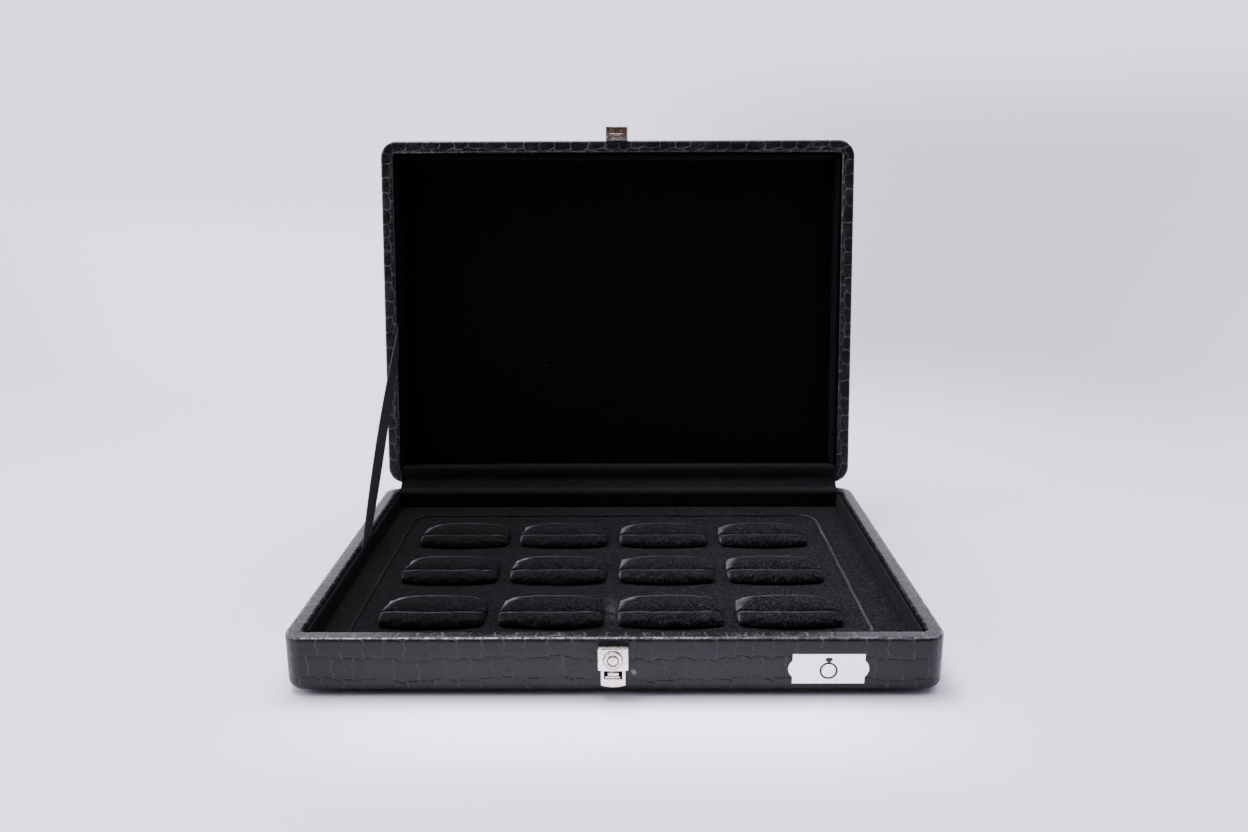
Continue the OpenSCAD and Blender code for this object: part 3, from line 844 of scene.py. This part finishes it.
def ring_pad():
    """Velvet tray, dipping a little round each holder where the cloth is pulled down."""
    points, faces = soft_box(PAD_LOW, PAD_HIGH, 0.8, 1.6)
    on_top = points[:, 2] > PAD_HIGH[2] - 0.5
    dip = np.zeros(len(points))
    for node in HOLDERS:
        low, high = node_corners(node)
        away = np.maximum(np.maximum(low - points, points - high), 0)[:, :2]
        dip = np.maximum(dip, np.exp(-np.linalg.norm(away, axis=1) / 1.6))
    points[:, 2] -= np.where(on_top, 0.35 * dip - 0.12 * ripple(points[:, :2], 24, 4) + 0.12, 0)
    # A patch between the second and third holders has been rubbed
    second, third = (node_corners(n) for n in ("ring_holder_2", "ring_holder_3"))
    middle = np.array([(second[1][0] + third[0][0]) / 2, second[0][1] + 17.5])
    spread = (points[:, :2] - middle) / (2.6, 8.5)
    patchy = 0.6 + 0.6 * ripple(points[:, :2], 5, 8)
    worn_and_highlit = np.exp(-(spread ** 2).sum(1)) * np.clip(patchy, 0, 1) * on_top
    velvet_piece("ring_pad", "base", points, faces, VELVET_TRAY, values={"rubbed_and_highlit": worn_and_highlit})


def tray_piping():
    """Velvet piping: a low rounded ridge round the holders, sunk a little into the tray."""
    low, high = PIPING_LOW, PIPING_HIGH
    middle, half = (low + high)[:2] / 2, (high - low)[:2] / 2
    track = Track(half, PIPING_CORNER_R, (70, 70), 14)
    section = [
        (PIPING_W / 2 * (1 - math.cos(a)), low[2] + (high - low)[2] * math.sin(a) - 0.02)
        for a in np.linspace(0, math.pi, 9)
    ]
    section += [(0.9 * PIPING_W, low[2] - 0.3), (0.1 * PIPING_W, low[2] - 0.3)]
    rows = [
        np.column_stack([middle + track.ring(depth), np.full(track.count, z)])
        for depth, z in section
    ]
    points, _, faces = rows_mesh(rows, wrap_rows=True, wrap_cols=True)
    points[:, 0] += 0.18 * ripple(points[:, :2], 18, 21)
    points[:, 1] += 0.18 * ripple(points[:, :2], 15, 22)
    points[:, 2] += np.where(points[:, 2] > low[2], 0.1 * ripple(points[:, :2], 12, 23), 0)
    # Its right-hand crest is lightened: painted highlight where the light from the left falls
    right = smooth_step((points[:, 0] - high[0] + 12) / 10)
    worn_and_highlit = (0.04 + 0.3 * right) * (0.8 + 0.4 * ripple(points[:, :2], 20, 24))
    crest = smooth_step((points[:, 2] - low[2]) / (high[2] - low[2])) * np.clip(worn_and_highlit, 0, 1)
    velvet_piece("tray_piping", "base", points, faces[:, ::-1], VELVET_TRAY, values={"edge": crest})


def holder_lobe(low, high, seed, outer_side):
    """One cushion of a ring holder before it swells. Its outer long side bows out, and the
    side along the slit is straight; outer_side is -1 for the front cushion, 1 for the rear."""
    points, faces = soft_box(low, high, LOBE_EDGE, LOBE_STEP)
    size = high - low
    across = (points[:, 0] - (low[0] + high[0]) / 2) / (size[0] / 2)
    outward = (points[:, 1] - low[1]) / size[1]
    if outer_side < 0:
        outward = 1 - outward
    rise = (points[:, 2] - low[2]) / size[2]
    crown = 1 - LOBE_SIDE_DROP * across ** 2 * outward - 0.1 * across ** 8
    points[:, 2] = low[2] + rise * size[2] * crown
    bow = FRONT_BOW * across ** 2 if outer_side < 0 else REAR_BOW * across ** 4
    points[:, 1] -= outer_side * bow * outward
    points[:, 0] -= across * LOBE_PULL * outward ** 2
    soft = ripple(points * (1, 1, 0), 8, seed)
    points[:, 2] += LOBE_RIPPLE * soft * rise
    points[:, 1] += LOBE_RIPPLE * ripple(points * (1, 0, 1), 10, seed + 30) * rise * outward
    return points, faces, outward


def swell(points, faces, held, pressure):
    """Inflates closed cloth shapes, with the held points fixed, and gives their new points."""
    mesh = bpy.data.meshes.new("swelling")
    mesh.from_pydata((points * CLOTH_SCALE).tolist(), [], faces.tolist())
    cushion = add_object("swelling", mesh)
    scene = bpy.context.scene
    group = cushion.vertex_groups.new(name="held")
    group.add(np.nonzero(held)[0].tolist(), 1.0, "REPLACE")
    cloth = cushion.modifiers.new("cloth", "CLOTH")
    cloth.settings.vertex_group_mass = "held"
    cloth.settings.use_pressure = True
    cloth.settings.uniform_pressure_force = pressure
    cloth.settings.effector_weights.gravity = 0
    cloth.settings.bending_stiffness = 0.05
    cloth.point_cache.frame_end = CLOTH_FRAMES
    for frame_number in range(1, CLOTH_FRAMES + 1):
        scene.frame_set(frame_number)
    result = cushion.evaluated_get(bpy.context.evaluated_depsgraph_get()).data
    swollen = np.array([v.co for v in result.vertices]) / CLOTH_SCALE
    bpy.data.objects.remove(cushion)
    scene.frame_set(1)
    move = swollen - points
    length = np.linalg.norm(move, axis=1, keepdims=True)
    return points + move * np.minimum(1, MAX_SWELL / np.maximum(length, 1e-9))


def ring_holders():
    """Twelve holders, each of two velvet cushions with the ring slit between them."""
    lobes = []
    for seed, node in enumerate(HOLDERS):
        low, high = node_corners(node)
        low, high = low - (0, 0, PAD_SINK), high - (0, 0, SWELL_ROOM)
        slit_y = low[1] + SLIT_FRONT
        front_high = np.array([high[0], slit_y - SLIT_GAP, high[2]])
        rear_low = np.array([low[0], slit_y + SLIT_GAP, low[2]])
        lobes.append(holder_lobe(low, front_high, seed + 200, -1))
        lobes.append(holder_lobe(rear_low, high, seed + 300, 1))
    counts = np.cumsum([0] + [len(points) for points, _, _ in lobes])
    flat = np.concatenate([points for points, _, _ in lobes])
    faces = np.concatenate([faces + first for (_, faces, _), first in zip(lobes, counts)])
    floor_z = flat[:, 2].min()
    by_slit = np.concatenate([outward < 0.12 for _, _, outward in lobes])
    held = (flat[:, 2] < floor_z + 1.2) | (by_slit & (flat[:, 2] < floor_z + 2.6))
    full = swell(flat, faces, held, CUSHION_PRESSURE)
    for number, node in enumerate(HOLDERS):
        first, middle, last = counts[2 * number : 2 * number + 3]
        points = full[first:last]
        slit_y = node_corners(node)[0][1] + SLIT_FRONT
        front, rear = points[: middle - first], points[middle - first :]
        front[:, 1] = np.minimum(front[:, 1], slit_y - SLIT_HALF)
        rear[:, 1] = np.maximum(rear[:, 1], slit_y + SLIT_HALF)
        own = faces[(faces[:, 0] >= first) & (faces[:, 0] < last)] - first
        # Painted sheen along the cushions' lit edges
        edge_sheen = {"edge": lit_edge_sheen(points, own)}
        piece = velvet_piece(node, "base", points, own, VELVET_TRAY, values=edge_sheen)
        piece.modifiers.new("rounder", "SUBSURF").levels = 1


def lit_edge_sheen(points, faces):
    """How much painted sheen the pile gets: most on edges that face back, left or the slit, where
    the light catches them.
    """
    sides = points[faces]
    normals = np.cross(sides[:, 2] - sides[:, 0], sides[:, 3] - sides[:, 1])
    normals /= np.maximum(np.linalg.norm(normals, axis=1, keepdims=True), 1e-9)
    total = np.zeros_like(points)
    for corner in range(4):
        np.add.at(total, faces[:, corner], normals)
    total /= np.maximum(np.linalg.norm(total, axis=1, keepdims=True), 1e-9)
    x, y, z = total.T
    tilt = smooth_step((1.2 * y - 0.7 * x - 0.2) / 0.35) * smooth_step(z / 0.25)
    patchy = 0.75 + 0.4 * ripple(points, 7, 77)
    return np.clip(tilt * patchy, 0, 1)


# ---- Cloth hinge, spine and ribbon ----

def mirrored_open(path):
    """The lid's half of a [y, z] path: its mirror image across the parting, opened."""
    y, z = np.array(path, float).T
    flat = np.stack([np.zeros(len(y)), y, 2 * HINGE_Z - z], 1)
    return opened(flat)[::-1, 1:]


def smooth_path(path, step):
    """A path resampled on a smooth curve through its points."""
    path = np.asarray(path, float)
    ends = np.concatenate([[2 * path[0] - path[1]], path, [2 * path[-1] - path[-2]]])
    found = []
    for a, b, c, d in zip(ends, ends[1:], ends[2:], ends[3:]):
        count = max(2, math.ceil(np.linalg.norm(c - b) / step))
        t = (np.arange(count) / count)[:, None]
        square = (2 * a - 5 * b + 4 * c - d) * t ** 2
        cube = (3 * b - a - 3 * c + d) * t ** 3
        found.append((2 * b + (c - a) * t + square + cube) / 2)
    return np.concatenate([*found, path[-1:]])


def path_normals(path):
    """Unit normals to the left of a path's direction."""
    d = np.gradient(path, axis=0)
    d /= np.linalg.norm(d, axis=1, keepdims=True)
    return np.stack([-d[:, 1], d[:, 0]], 1)


def path_length(path):
    return float(np.linalg.norm(np.diff(path, axis=0), axis=1).sum())


def band_mesh(path, offsets, xs, bend=lambda x, run: 0.0):
    """A closed band along X: a [y, z] path thickened between two offsets. bend says how
    far each place, given by x and run, moves along the path's normal."""
    normals = path_normals(path)
    run = np.concatenate([[0], np.cumsum(np.linalg.norm(np.diff(path, axis=0), axis=1))])
    x_grid, run_grid = np.meshgrid(xs, run, indexing="ij")
    moved = bend(x_grid, run_grid)
    layers = []
    for offset in offsets:
        shift = np.broadcast_to(offset + moved, x_grid.shape)
        place = path[None] + shift[..., None] * normals[None]
        layers.append(np.concatenate([x_grid[..., None], place], 2).reshape(-1, 3))
    under = np.arange(x_grid.size).reshape(x_grid.shape)
    over = under + x_grid.size
    faces = np.concatenate([
        lattice_faces(np.concatenate([under, over[:, ::-1]], 1), wrap_cols=True),
        lattice_faces(np.stack([under[0], over[0]])),
        lattice_faces(np.stack([under[-1], over[-1]]))[:, ::-1],
    ])
    return np.concatenate(layers), faces, run


def bend_between(piece):
    """Bakes a piece's transform into its points."""
    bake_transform(piece)


def stretched_sheet(piece, node):
    """Puts a stretched sheet in a node's place."""
    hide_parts(node)
    bend_between(piece)


CLOTH_LOW, CLOTH_HIGH = node_corners("hinge_cloth")
CLOTH_T = 0.5


def hinge_cloth():
    """Velvet that lines the back wall, covers both rear rims and bridges the hinge."""
    inner_y = HALF_D - WALL_T - 1.8
    tray_z = PAD_HIGH[2]
    # Up the rear wall, over the rim's inner edge and level towards the hinge
    half = [
        (inner_y, tray_z + 0.2),
        (inner_y, (tray_z + RIM_Z) / 2),
        (inner_y, RIM_Z - 0.9),
        (inner_y + 0.35, RIM_Z - 0.35),
        (inner_y + 1.3, RIM_Z + 0.02),
        (HALF_D - WALL_T + RIM_R, RIM_Z + 0.02),
        (HALF_D - RIM_R, RIM_Z + 0.02),
    ]
    path = smooth_path(np.concatenate([half, mirrored_open(half)]), 0.7)
    xs = np.linspace(CLOTH_LOW[0], CLOTH_HIGH[0], 130)
    total = path_length(path)

    def bend(x, run):
        waves = ripple(np.stack([x.ravel(), run.ravel() * 3], 1), 40, 31).reshape(x.shape)
        return 0.16 * waves * np.sin(math.pi * run / total) ** 2

    points, faces, _ = band_mesh(path, (0, CLOTH_T), xs, bend)
    piece = make_piece("hinge_cloth_velvet", points, faces, VELVET_CLOTH)
    stretched_sheet(
        piece, "hinge_cloth",
    )


SPINE_LOW, SPINE_HIGH = node_corners("hinge_spine")


def hinge_spine():
    """Leatherette strip down the back that carries the lid."""
    # Up the back wall, and out a little where it rounds the rim
    half = [
        (HALF_D + 0.02, SPINE_LOW[2]),
        (HALF_D + 0.02, SPINE_LOW[2] + 6.5),
        (HALF_D + 0.02, RIM_Z - 1.35),
        (HALF_D + 0.27, RIM_Z - 0.4),
    ]
    path = smooth_path(np.concatenate([half, mirrored_open(half)]), 0.6)
    xs = np.linspace(SPINE_LOW[0], SPINE_HIGH[0], 330)

    def sunk(x, run):
        return RELIEF_DEPTH * emboss(x + PERIOD, run)

    points, faces, run = band_mesh(path, (-0.5, 0), xs, sunk)
    places = np.column_stack([points[:, 0] + PERIOD, np.tile(run, 2 * len(xs))])
    piece = leather_piece("hinge_spine_leatherette", points, faces, places)
    stretched_sheet(
        piece, "hinge_spine",
    )


RIBBON_W = 10.0
RIBBON_T = 0.3
RIBBON_TUCK = 9.0
RIBBON_BOW = 1.8
RIBBON_SWAY = 0.9
RIBBON_SHIFT = 0.35
RIBBON_TWIST = math.radians(-10)
RIBBON_Y = 13.6


def stay_ribbon():
    """Satin ribbon from behind the base's left liner to behind the lid's."""
    low = np.array([RIBBON_Y, RIM_Z - 0.9])
    high = mirrored_open([low])[0]
    direction = (high - low) / np.linalg.norm(high - low)
    side = np.array([-direction[1], direction[0]])
    free = np.linalg.norm(high - low)
    ribbon_low, ribbon_high = node_corners("stay_ribbon")
    plane_x = (ribbon_low[0] + ribbon_high[0]) / 2
    s = np.linspace(-RIBBON_TUCK / free, 1 + RIBBON_TUCK / free, 110)
    inside = np.clip(s, 0, 1)
    bow = RIBBON_BOW * np.sin(math.pi * inside) + RIBBON_SWAY * np.sin(2 * math.pi * inside)
    line = low + s[:, None] * free * direction + bow[:, None] * side
    normals = path_normals(line)
    shift = RIBBON_SHIFT * np.sin(2 * math.pi * inside)
    twist = RIBBON_TWIST * np.sin(math.pi * inside ** 0.8)
    across = np.linspace(-1, 1, 9)
    # The woven edges are a little thicker than the middle
    half_t = RIBBON_T / 2 * (0.75 + 0.35 * np.abs(across) ** 6)
    section = [*zip(across, half_t), *zip(across[::-1], -half_t[::-1])]
    rows = []
    for a, t in section:
        half = a * RIBBON_W / 2
        x = plane_x + shift + half * np.sin(twist) + t * np.cos(twist)
        place = line + (half * np.cos(twist) - t * np.sin(twist))[:, None] * normals
        rows.append(np.column_stack([x, place]))
    points, index, quads = rows_mesh(rows, wrap_rows=True)
    faces = [*quads, index[:, 0], index[::-1, -1]]
    piece = make_piece("stay_ribbon_satin", points, faces, SATIN)
    stretched_sheet(
        piece, "stay_ribbon",
    )


# ---- Label and metal ----

LABEL_LOW, LABEL_HIGH = node_corners("front_label")
LABEL_BUMP_R = 4.0
LABEL_T = 0.15
INK_T = 0.03


def front_label():
    """Paper label with a bumped outline, and a printed ring in place of lettering."""
    centre = (LABEL_LOW + LABEL_HIGH)[[0, 2]] / 2
    half_w, half_h = (LABEL_HIGH - LABEL_LOW)[[0, 2]] / 2
    bump_x = half_w - LABEL_BUMP_R
    side_x = bump_x + 2.5
    reach = math.acos((side_x - bump_x) / LABEL_BUMP_R)
    right = [
        (bump_x + LABEL_BUMP_R * math.cos(a), LABEL_BUMP_R * math.sin(a))
        for a in np.linspace(-reach, reach, 17)
    ]
    outline = [(-side_x, -half_h), (side_x, -half_h), *right]
    outline += [(-x, -z) for x, z in outline]
    paper = flat_plate("front_label_paper", outline, centre, 0, LABEL_T, PAPER)
    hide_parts("front_label")
    printed = LABEL_T + INK_T
    band = [(3.3, LABEL_T), (2.55, LABEL_T), (2.55, printed), (3.3, printed)]
    place = np.array([centre[0], -HALF_D, centre[1] - 0.7])
    lathed("label_print_band", band, place, "base", INK, steps=48)
    stone = [(-1.5, 3.55), (-0.85, 4.4), (0.85, 4.4), (1.5, 3.55), (0, 2.2)]
    flat_plate("label_print_stone", stone, centre, LABEL_T, INK_T, INK)


def flat_plate(name, outline, centre, out, thick, material):
    """A thin plate at a distance out from the front wall, from its outline round centre."""
    count = len(outline)
    x, z = (np.asarray(outline, float) + centre).T
    layers = [np.column_stack([x, np.full(count, -HALF_D - y), z]) for y in (out, out + thick)]
    faces = [tuple(range(count))[::-1], tuple(range(count, 2 * count))]
    faces += [(i, (i + 1) % count, count + (i + 1) % count, count + i) for i in range(count)]
    piece = make_piece(name, np.concatenate(layers), faces, material)
    piece.data.polygons.foreach_set("use_smooth", np.zeros(len(piece.data.polygons), bool))
    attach(piece, "base")
    return piece


def lathed(name, profile, place, body, material, is_ring=True, steps=64):
    """A turned piece on the front, an open ring or a solid dome; its profile lists radius
    and distance out from place."""
    angles = np.linspace(0, 2 * math.pi, steps + 1)[:-1]
    rows = [
        place + np.column_stack([r * np.cos(angles), np.full(steps, -out), r * np.sin(angles)])
        for r, out in profile
    ]
    points, index, quads = rows_mesh(rows, wrap_rows=is_ring, wrap_cols=True)
    faces = quads if is_ring else [*quads, index[0][::-1], index[-1]]
    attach(make_piece(name, points, faces, material), body)


def lock_details():
    """The rounded ring round the button, a dark ring in each groove beside it (painted shade in the
    gap round the button), the button's dome and the small stop plate in the window."""
    button_low, button_high = node_corners("lock_button")
    middle_z = (button_low[2] + button_high[2]) / 2
    face = np.array([LOCK_X, -HALF_D - LOCK_PROUD, middle_z])
    arc = np.linspace(math.pi, 0, 9)
    bead = [(RING_MID + RING_T * math.cos(a), RING_PROUD + RING_T * math.sin(a) * 0.6) for a in arc]
    bead = [(bead[-1][0], -0.1), (bead[0][0], -0.1), *bead]
    lathed("lock_ring_bead", bead, face, "base", NICKEL)
    # Dark rings in the grooves; the inner one is painted shade in the gap round the button
    for name, low, high in (
        ("lock_ring_groove", RING_MID + RING_T - 0.1, RING_OUTER),
        ("lock_button_groove", BUTTON_R + 0.1, RING_MID - RING_T + 0.1),
    ):
        band = [(high, -0.05), (low, -0.05), (low, RING_PROUD), (high, RING_PROUD)]
        lathed(name, band, face, "base", DARK_GROOVES)
    tip = np.array([LOCK_X, button_low[1], middle_z])
    arc = np.linspace(0, math.pi / 2, 7)[:-1]
    dome = [(BUTTON_R * math.cos(a), DOME_RISE * math.sin(a)) for a in arc]
    dome = [(BUTTON_R, -0.2), *dome, (0.02, DOME_RISE)]
    lathed("lock_button_dome", dome, tip, "button", NICKEL, is_ring=False)
    plate_y = -HALF_D - LOCK_PROUD + PLATE_SINK
    plate_low = (LOCK_X - 2.9, plate_y, RIM_Z - PLATE_DROP - PLATE_H)
    plate_high = (LOCK_X + 2.5, plate_y + PLATE_T, RIM_Z - PLATE_DROP)
    points, faces = soft_box(plate_low, plate_high, 0.08, 0.4)
    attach(make_piece("lock_stop_plate", points, faces, NICKEL), "base")


def lock_spring():
    """Leaf spring that hangs from a yoke in the lock and carries the catch; its foot shows in the
    lock's window."""
    back, top = -HALF_D - LEAF_OUT, RIM_Z - LEAF_TOP
    # Straight down, then a hook forward whose tip stands behind the window
    strip = [
        (back, top + 0.1), (back, top - 4), (back, top - 8), (back - 0.35, top - 8.7),
        (back - 1.2, top - 8.8), (back - 2.05, top - 8.7), (back - 2.4, top - 8.2),
        (back - 2.4, top - 7.4),
    ]
    xs = np.linspace(LOCK_X - LEAF_W / 2, LOCK_X + LEAF_W / 2, 5)
    leaf, leaf_faces, _ = band_mesh(smooth_path(strip, 0.2), (-LEAF_T, 0), xs)
    front = back - LEAF_T
    yoke_low = (LOCK_X - YOKE_HALF, front, top)
    yoke_high = (LOCK_X + YOKE_HALF, back, top + YOKE_H)
    yoke, yoke_faces = soft_box(yoke_low, yoke_high, 0.08, 0.6)
    catch_z = RIM_Z - CATCH_DROP
    catch_low = (LOCK_X - CATCH_HALF_W, front - CATCH_HALF_H, catch_z - CATCH_HALF_H)
    catch_high = (LOCK_X + CATCH_HALF_W, front + 0.05, catch_z + CATCH_HALF_H)
    catch, catch_faces = soft_box(catch_low, catch_high, 0.1, 0.4)
    points = np.concatenate([leaf, yoke, catch])
    faces = np.concatenate([
        leaf_faces, yoke_faces + len(leaf), catch_faces + len(leaf) + len(yoke)
    ])
    piece = make_piece("lock_spring_leaf", points, faces, NICKEL)
    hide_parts("lock_spring")
    bend_between(piece)


def metal_node(node, width, material):
    """A stamped CAD piece with its edges rounded off."""
    piece = NODES[node]
    weld = piece.modifiers.new("weld", "WELD")
    weld.merge_threshold = 0.002 * MM
    flat = piece.modifiers.new("planar", "DECIMATE")
    flat.decimate_type = "DISSOLVE"
    flat.angle_limit = math.radians(1)
    edge = piece.modifiers.new("edges", "BEVEL")
    edge.width = width * MM
    edge.segments = 3
    edge.limit_method = "ANGLE"
    edge.angle_limit = math.radians(40)
    repaint(node, material)
    piece.data.polygons.foreach_set("use_smooth", np.ones(len(piece.data.polygons), bool))


def repaint(node, material):
    """Gives a CAD node that stays its material."""
    materials = NODES[node].data.materials
    materials.clear()
    materials.append(material)


def plain_nodes():
    """CAD parts that stay: the boards inside the walls and the board underneath."""
    for side in ("front", "rear", "left", "right"):
        repaint(f"base_{side}_rail", BOARD)
        repaint(f"lid_{side}_rail", BOARD)
    repaint("base_floor_panel", BOARD)
    repaint("lid_top_panel", BOARD)
    repaint("bottom_board", BOARD_PAPER)


# ---- Stage ----

CAMERA_LENS = 29.92
CAMERA_PLACE = (5.65, -427.5, 190.3)
CAMERA_TURN = (0.29, -14.091, -0.196)
BACKDROP_TINT = (0.97, 0.94, 1.13, 1.0)
BACKDROP_LIGHT = 2.03
FRONT_LIGHT = 0.12
CEILING_LIGHT = 1.6
FLOOR_TINT = (0.70, 0.685, 0.757, 1.0)
HALO_LIGHT = 1.6
SHADE_AWAY = (0.36, 0.93)
SHADE_DEPTH = 0.36
GLARE = 0.16
FLOOR_HALF = 20.0


def camera():
    """A camera in front of the box, turned by its yaw, pitch and roll in degrees."""
    data = bpy.data.cameras.new("camera")
    data.sensor_width = 36
    data.lens = CAMERA_LENS
    data.clip_start, data.clip_end = 0.01, 50
    eye = add_object("camera", data)
    yaw, pitch, roll = np.radians(CAMERA_TURN)
    turn = (
        Matrix.Rotation(yaw, 3, "Z")
        @ Matrix.Rotation(math.pi / 2 + pitch, 3, "X")
        @ Matrix.Rotation(roll, 3, "Z")
    )
    eye.matrix_world = Matrix.Translation(Vector(CAMERA_PLACE) * MM) @ turn.to_4x4()
    bpy.context.scene.camera = eye


def area_light(name, place, size, power):
    """A soft light that faces the box, in metres and watts."""
    data = bpy.data.lights.new(name, "AREA")
    data.shape = "RECTANGLE"
    data.size, data.size_y = size
    data.energy = power
    light = add_object(name, data)
    light.location = place
    light.rotation_euler = (-Vector(place)).to_track_quat("-Z", "Y").to_euler()


def floor():
    """Pale floor that fades into an evenly lit backdrop. Its brightness is a halo round the
    box, a shade that widens away behind it and a glare beside that, all in metres."""
    mesh = bpy.data.meshes.new("floor")
    outline = [(x * FLOOR_HALF, y * FLOOR_HALF, 0) for x, y in Track.CORNERS]
    mesh.from_pydata(outline, [], [(0, 1, 2, 3)])
    material, shader = new_material("floor_paper", {"Roughness": 0.7, "Specular IOR Level": 0.2})
    place = object_place(material)
    fibres = noise(place, 900, 3, 0.6)
    tint = blend_colors(fibres, FLOOR_TINT, [0.985 * part for part in FLOOR_TINT[:3]] + [1.0])
    feed(shader, "Base Color", tint)
    x, y, _ = split(place)
    from_box = root(
        higher(absolute(x) - HALF_W * MM, 0.0) ** 2 + higher(absolute(y) - HALF_D * MM, 0.0) ** 2
    )
    halo = from_box.ranged(0.07, 0.012) * from_box.ranged(0.001, 0.014) * y.ranged(0.0, -0.07)
    halo = halo * absolute(x).ranged(0.15, 0.05, 0.1, 1)
    feed(shader, "Emission Color", BACKDROP_TINT)
    feed(shader, "Emission Strength", halo * HALO_LIGHT)
    along = x * SHADE_AWAY[0] + y * SHADE_AWAY[1]
    across = x * SHADE_AWAY[1] - y * SHADE_AWAY[0] - 0.1
    width = higher(along, 0.0) * 0.42 + 0.12
    shade = (across * across / (width * width)).ranged(1.0, 0.0) * along.ranged(0.05, 0.5)
    beside = x * SHADE_AWAY[1] + y * SHADE_AWAY[0] + 0.13
    glare = (beside * beside / (width * width)).ranged(0.6, 0.0) * along.ranged(0.05, 0.4)
    glare = glare * along.ranged(3.5, 1.0)
    uneven = shade * -SHADE_DEPTH + glare * GLARE + 1
    strength = y.ranged(-0.9, -0.3, FRONT_LIGHT, BACKDROP_LIGHT) * uneven
    painted_glow = add_node(material, "Emission", {"Color": BACKDROP_TINT, "Strength": strength})
    distance = root(x * x + y * y)
    lit = Value(material, shader.outputs[0])
    mixed = add_node(material, "MixShader", {0: distance.ranged(0.18, 0.75), 1: lit, 2: painted_glow})
    output = next(n for n in material.node_tree.nodes if n.type == "OUTPUT_MATERIAL")
    feed(output, "Surface", mixed)
    mesh.materials.append(material)
    add_object("floor", mesh)


def lighting():
    """A pale room that is dim on the camera's side, and soft lights above and to the left."""
    world = bpy.data.worlds.new("studio")
    world.use_nodes = True
    side, back, up = split(add_node(world, "TexCoord", output="Generated"))
    room = back.ranged(-0.4, 0.05, FRONT_LIGHT, BACKDROP_LIGHT)
    across = side * SHADE_AWAY[1] - back * SHADE_AWAY[0]
    shade = (across * across / 0.17).ranged(1.0, 0.0) * up.ranged(0.12, 0.0) * back.ranged(0, 0.5)
    strength = room * (shade * -SHADE_DEPTH + 1) + up.ranged(0.65, 0.95) * CEILING_LIGHT
    background = world.node_tree.nodes["Background"]
    background.inputs["Color"].default_value = BACKDROP_TINT
    feed(background, "Strength", strength)
    bpy.context.scene.world = world
    area_light("top_soft_light", (-0.25, 0.2, 1.3), (0.9, 0.6), 24)
    area_light("left_window_light", (-1.5, -0.25, 0.75), (0.8, 0.8), 14)


def main():
    camera()
    floor()
    lighting()
    base_leather()
    lid_leather()
    plain_nodes()
    for seed, side in enumerate(("front", "rear", "left", "right")):
        liner(f"base_{side}_liner", "base", seed + 60)
        liner(f"lid_{side}_liner", "lid", seed + 70)
    lid_pad()
    ring_pad()
    tray_piping()
    ring_holders()
    hinge_cloth()
    hinge_spine()
    stay_ribbon()
    front_label()
    lock_details()
    lock_spring()
    for node, width, material in (
        ("lock_case", 0.2, NICKEL), ("lock_button", 0.1, NICKEL),
        ("hasp_cover", 0.12, HASP_NICKEL), ("hasp_tongue", 0.1, HASP_NICKEL),
        ("hasp_nails", 0.12, NICKEL),
    ):
        metal_node(node, width, material)


main()
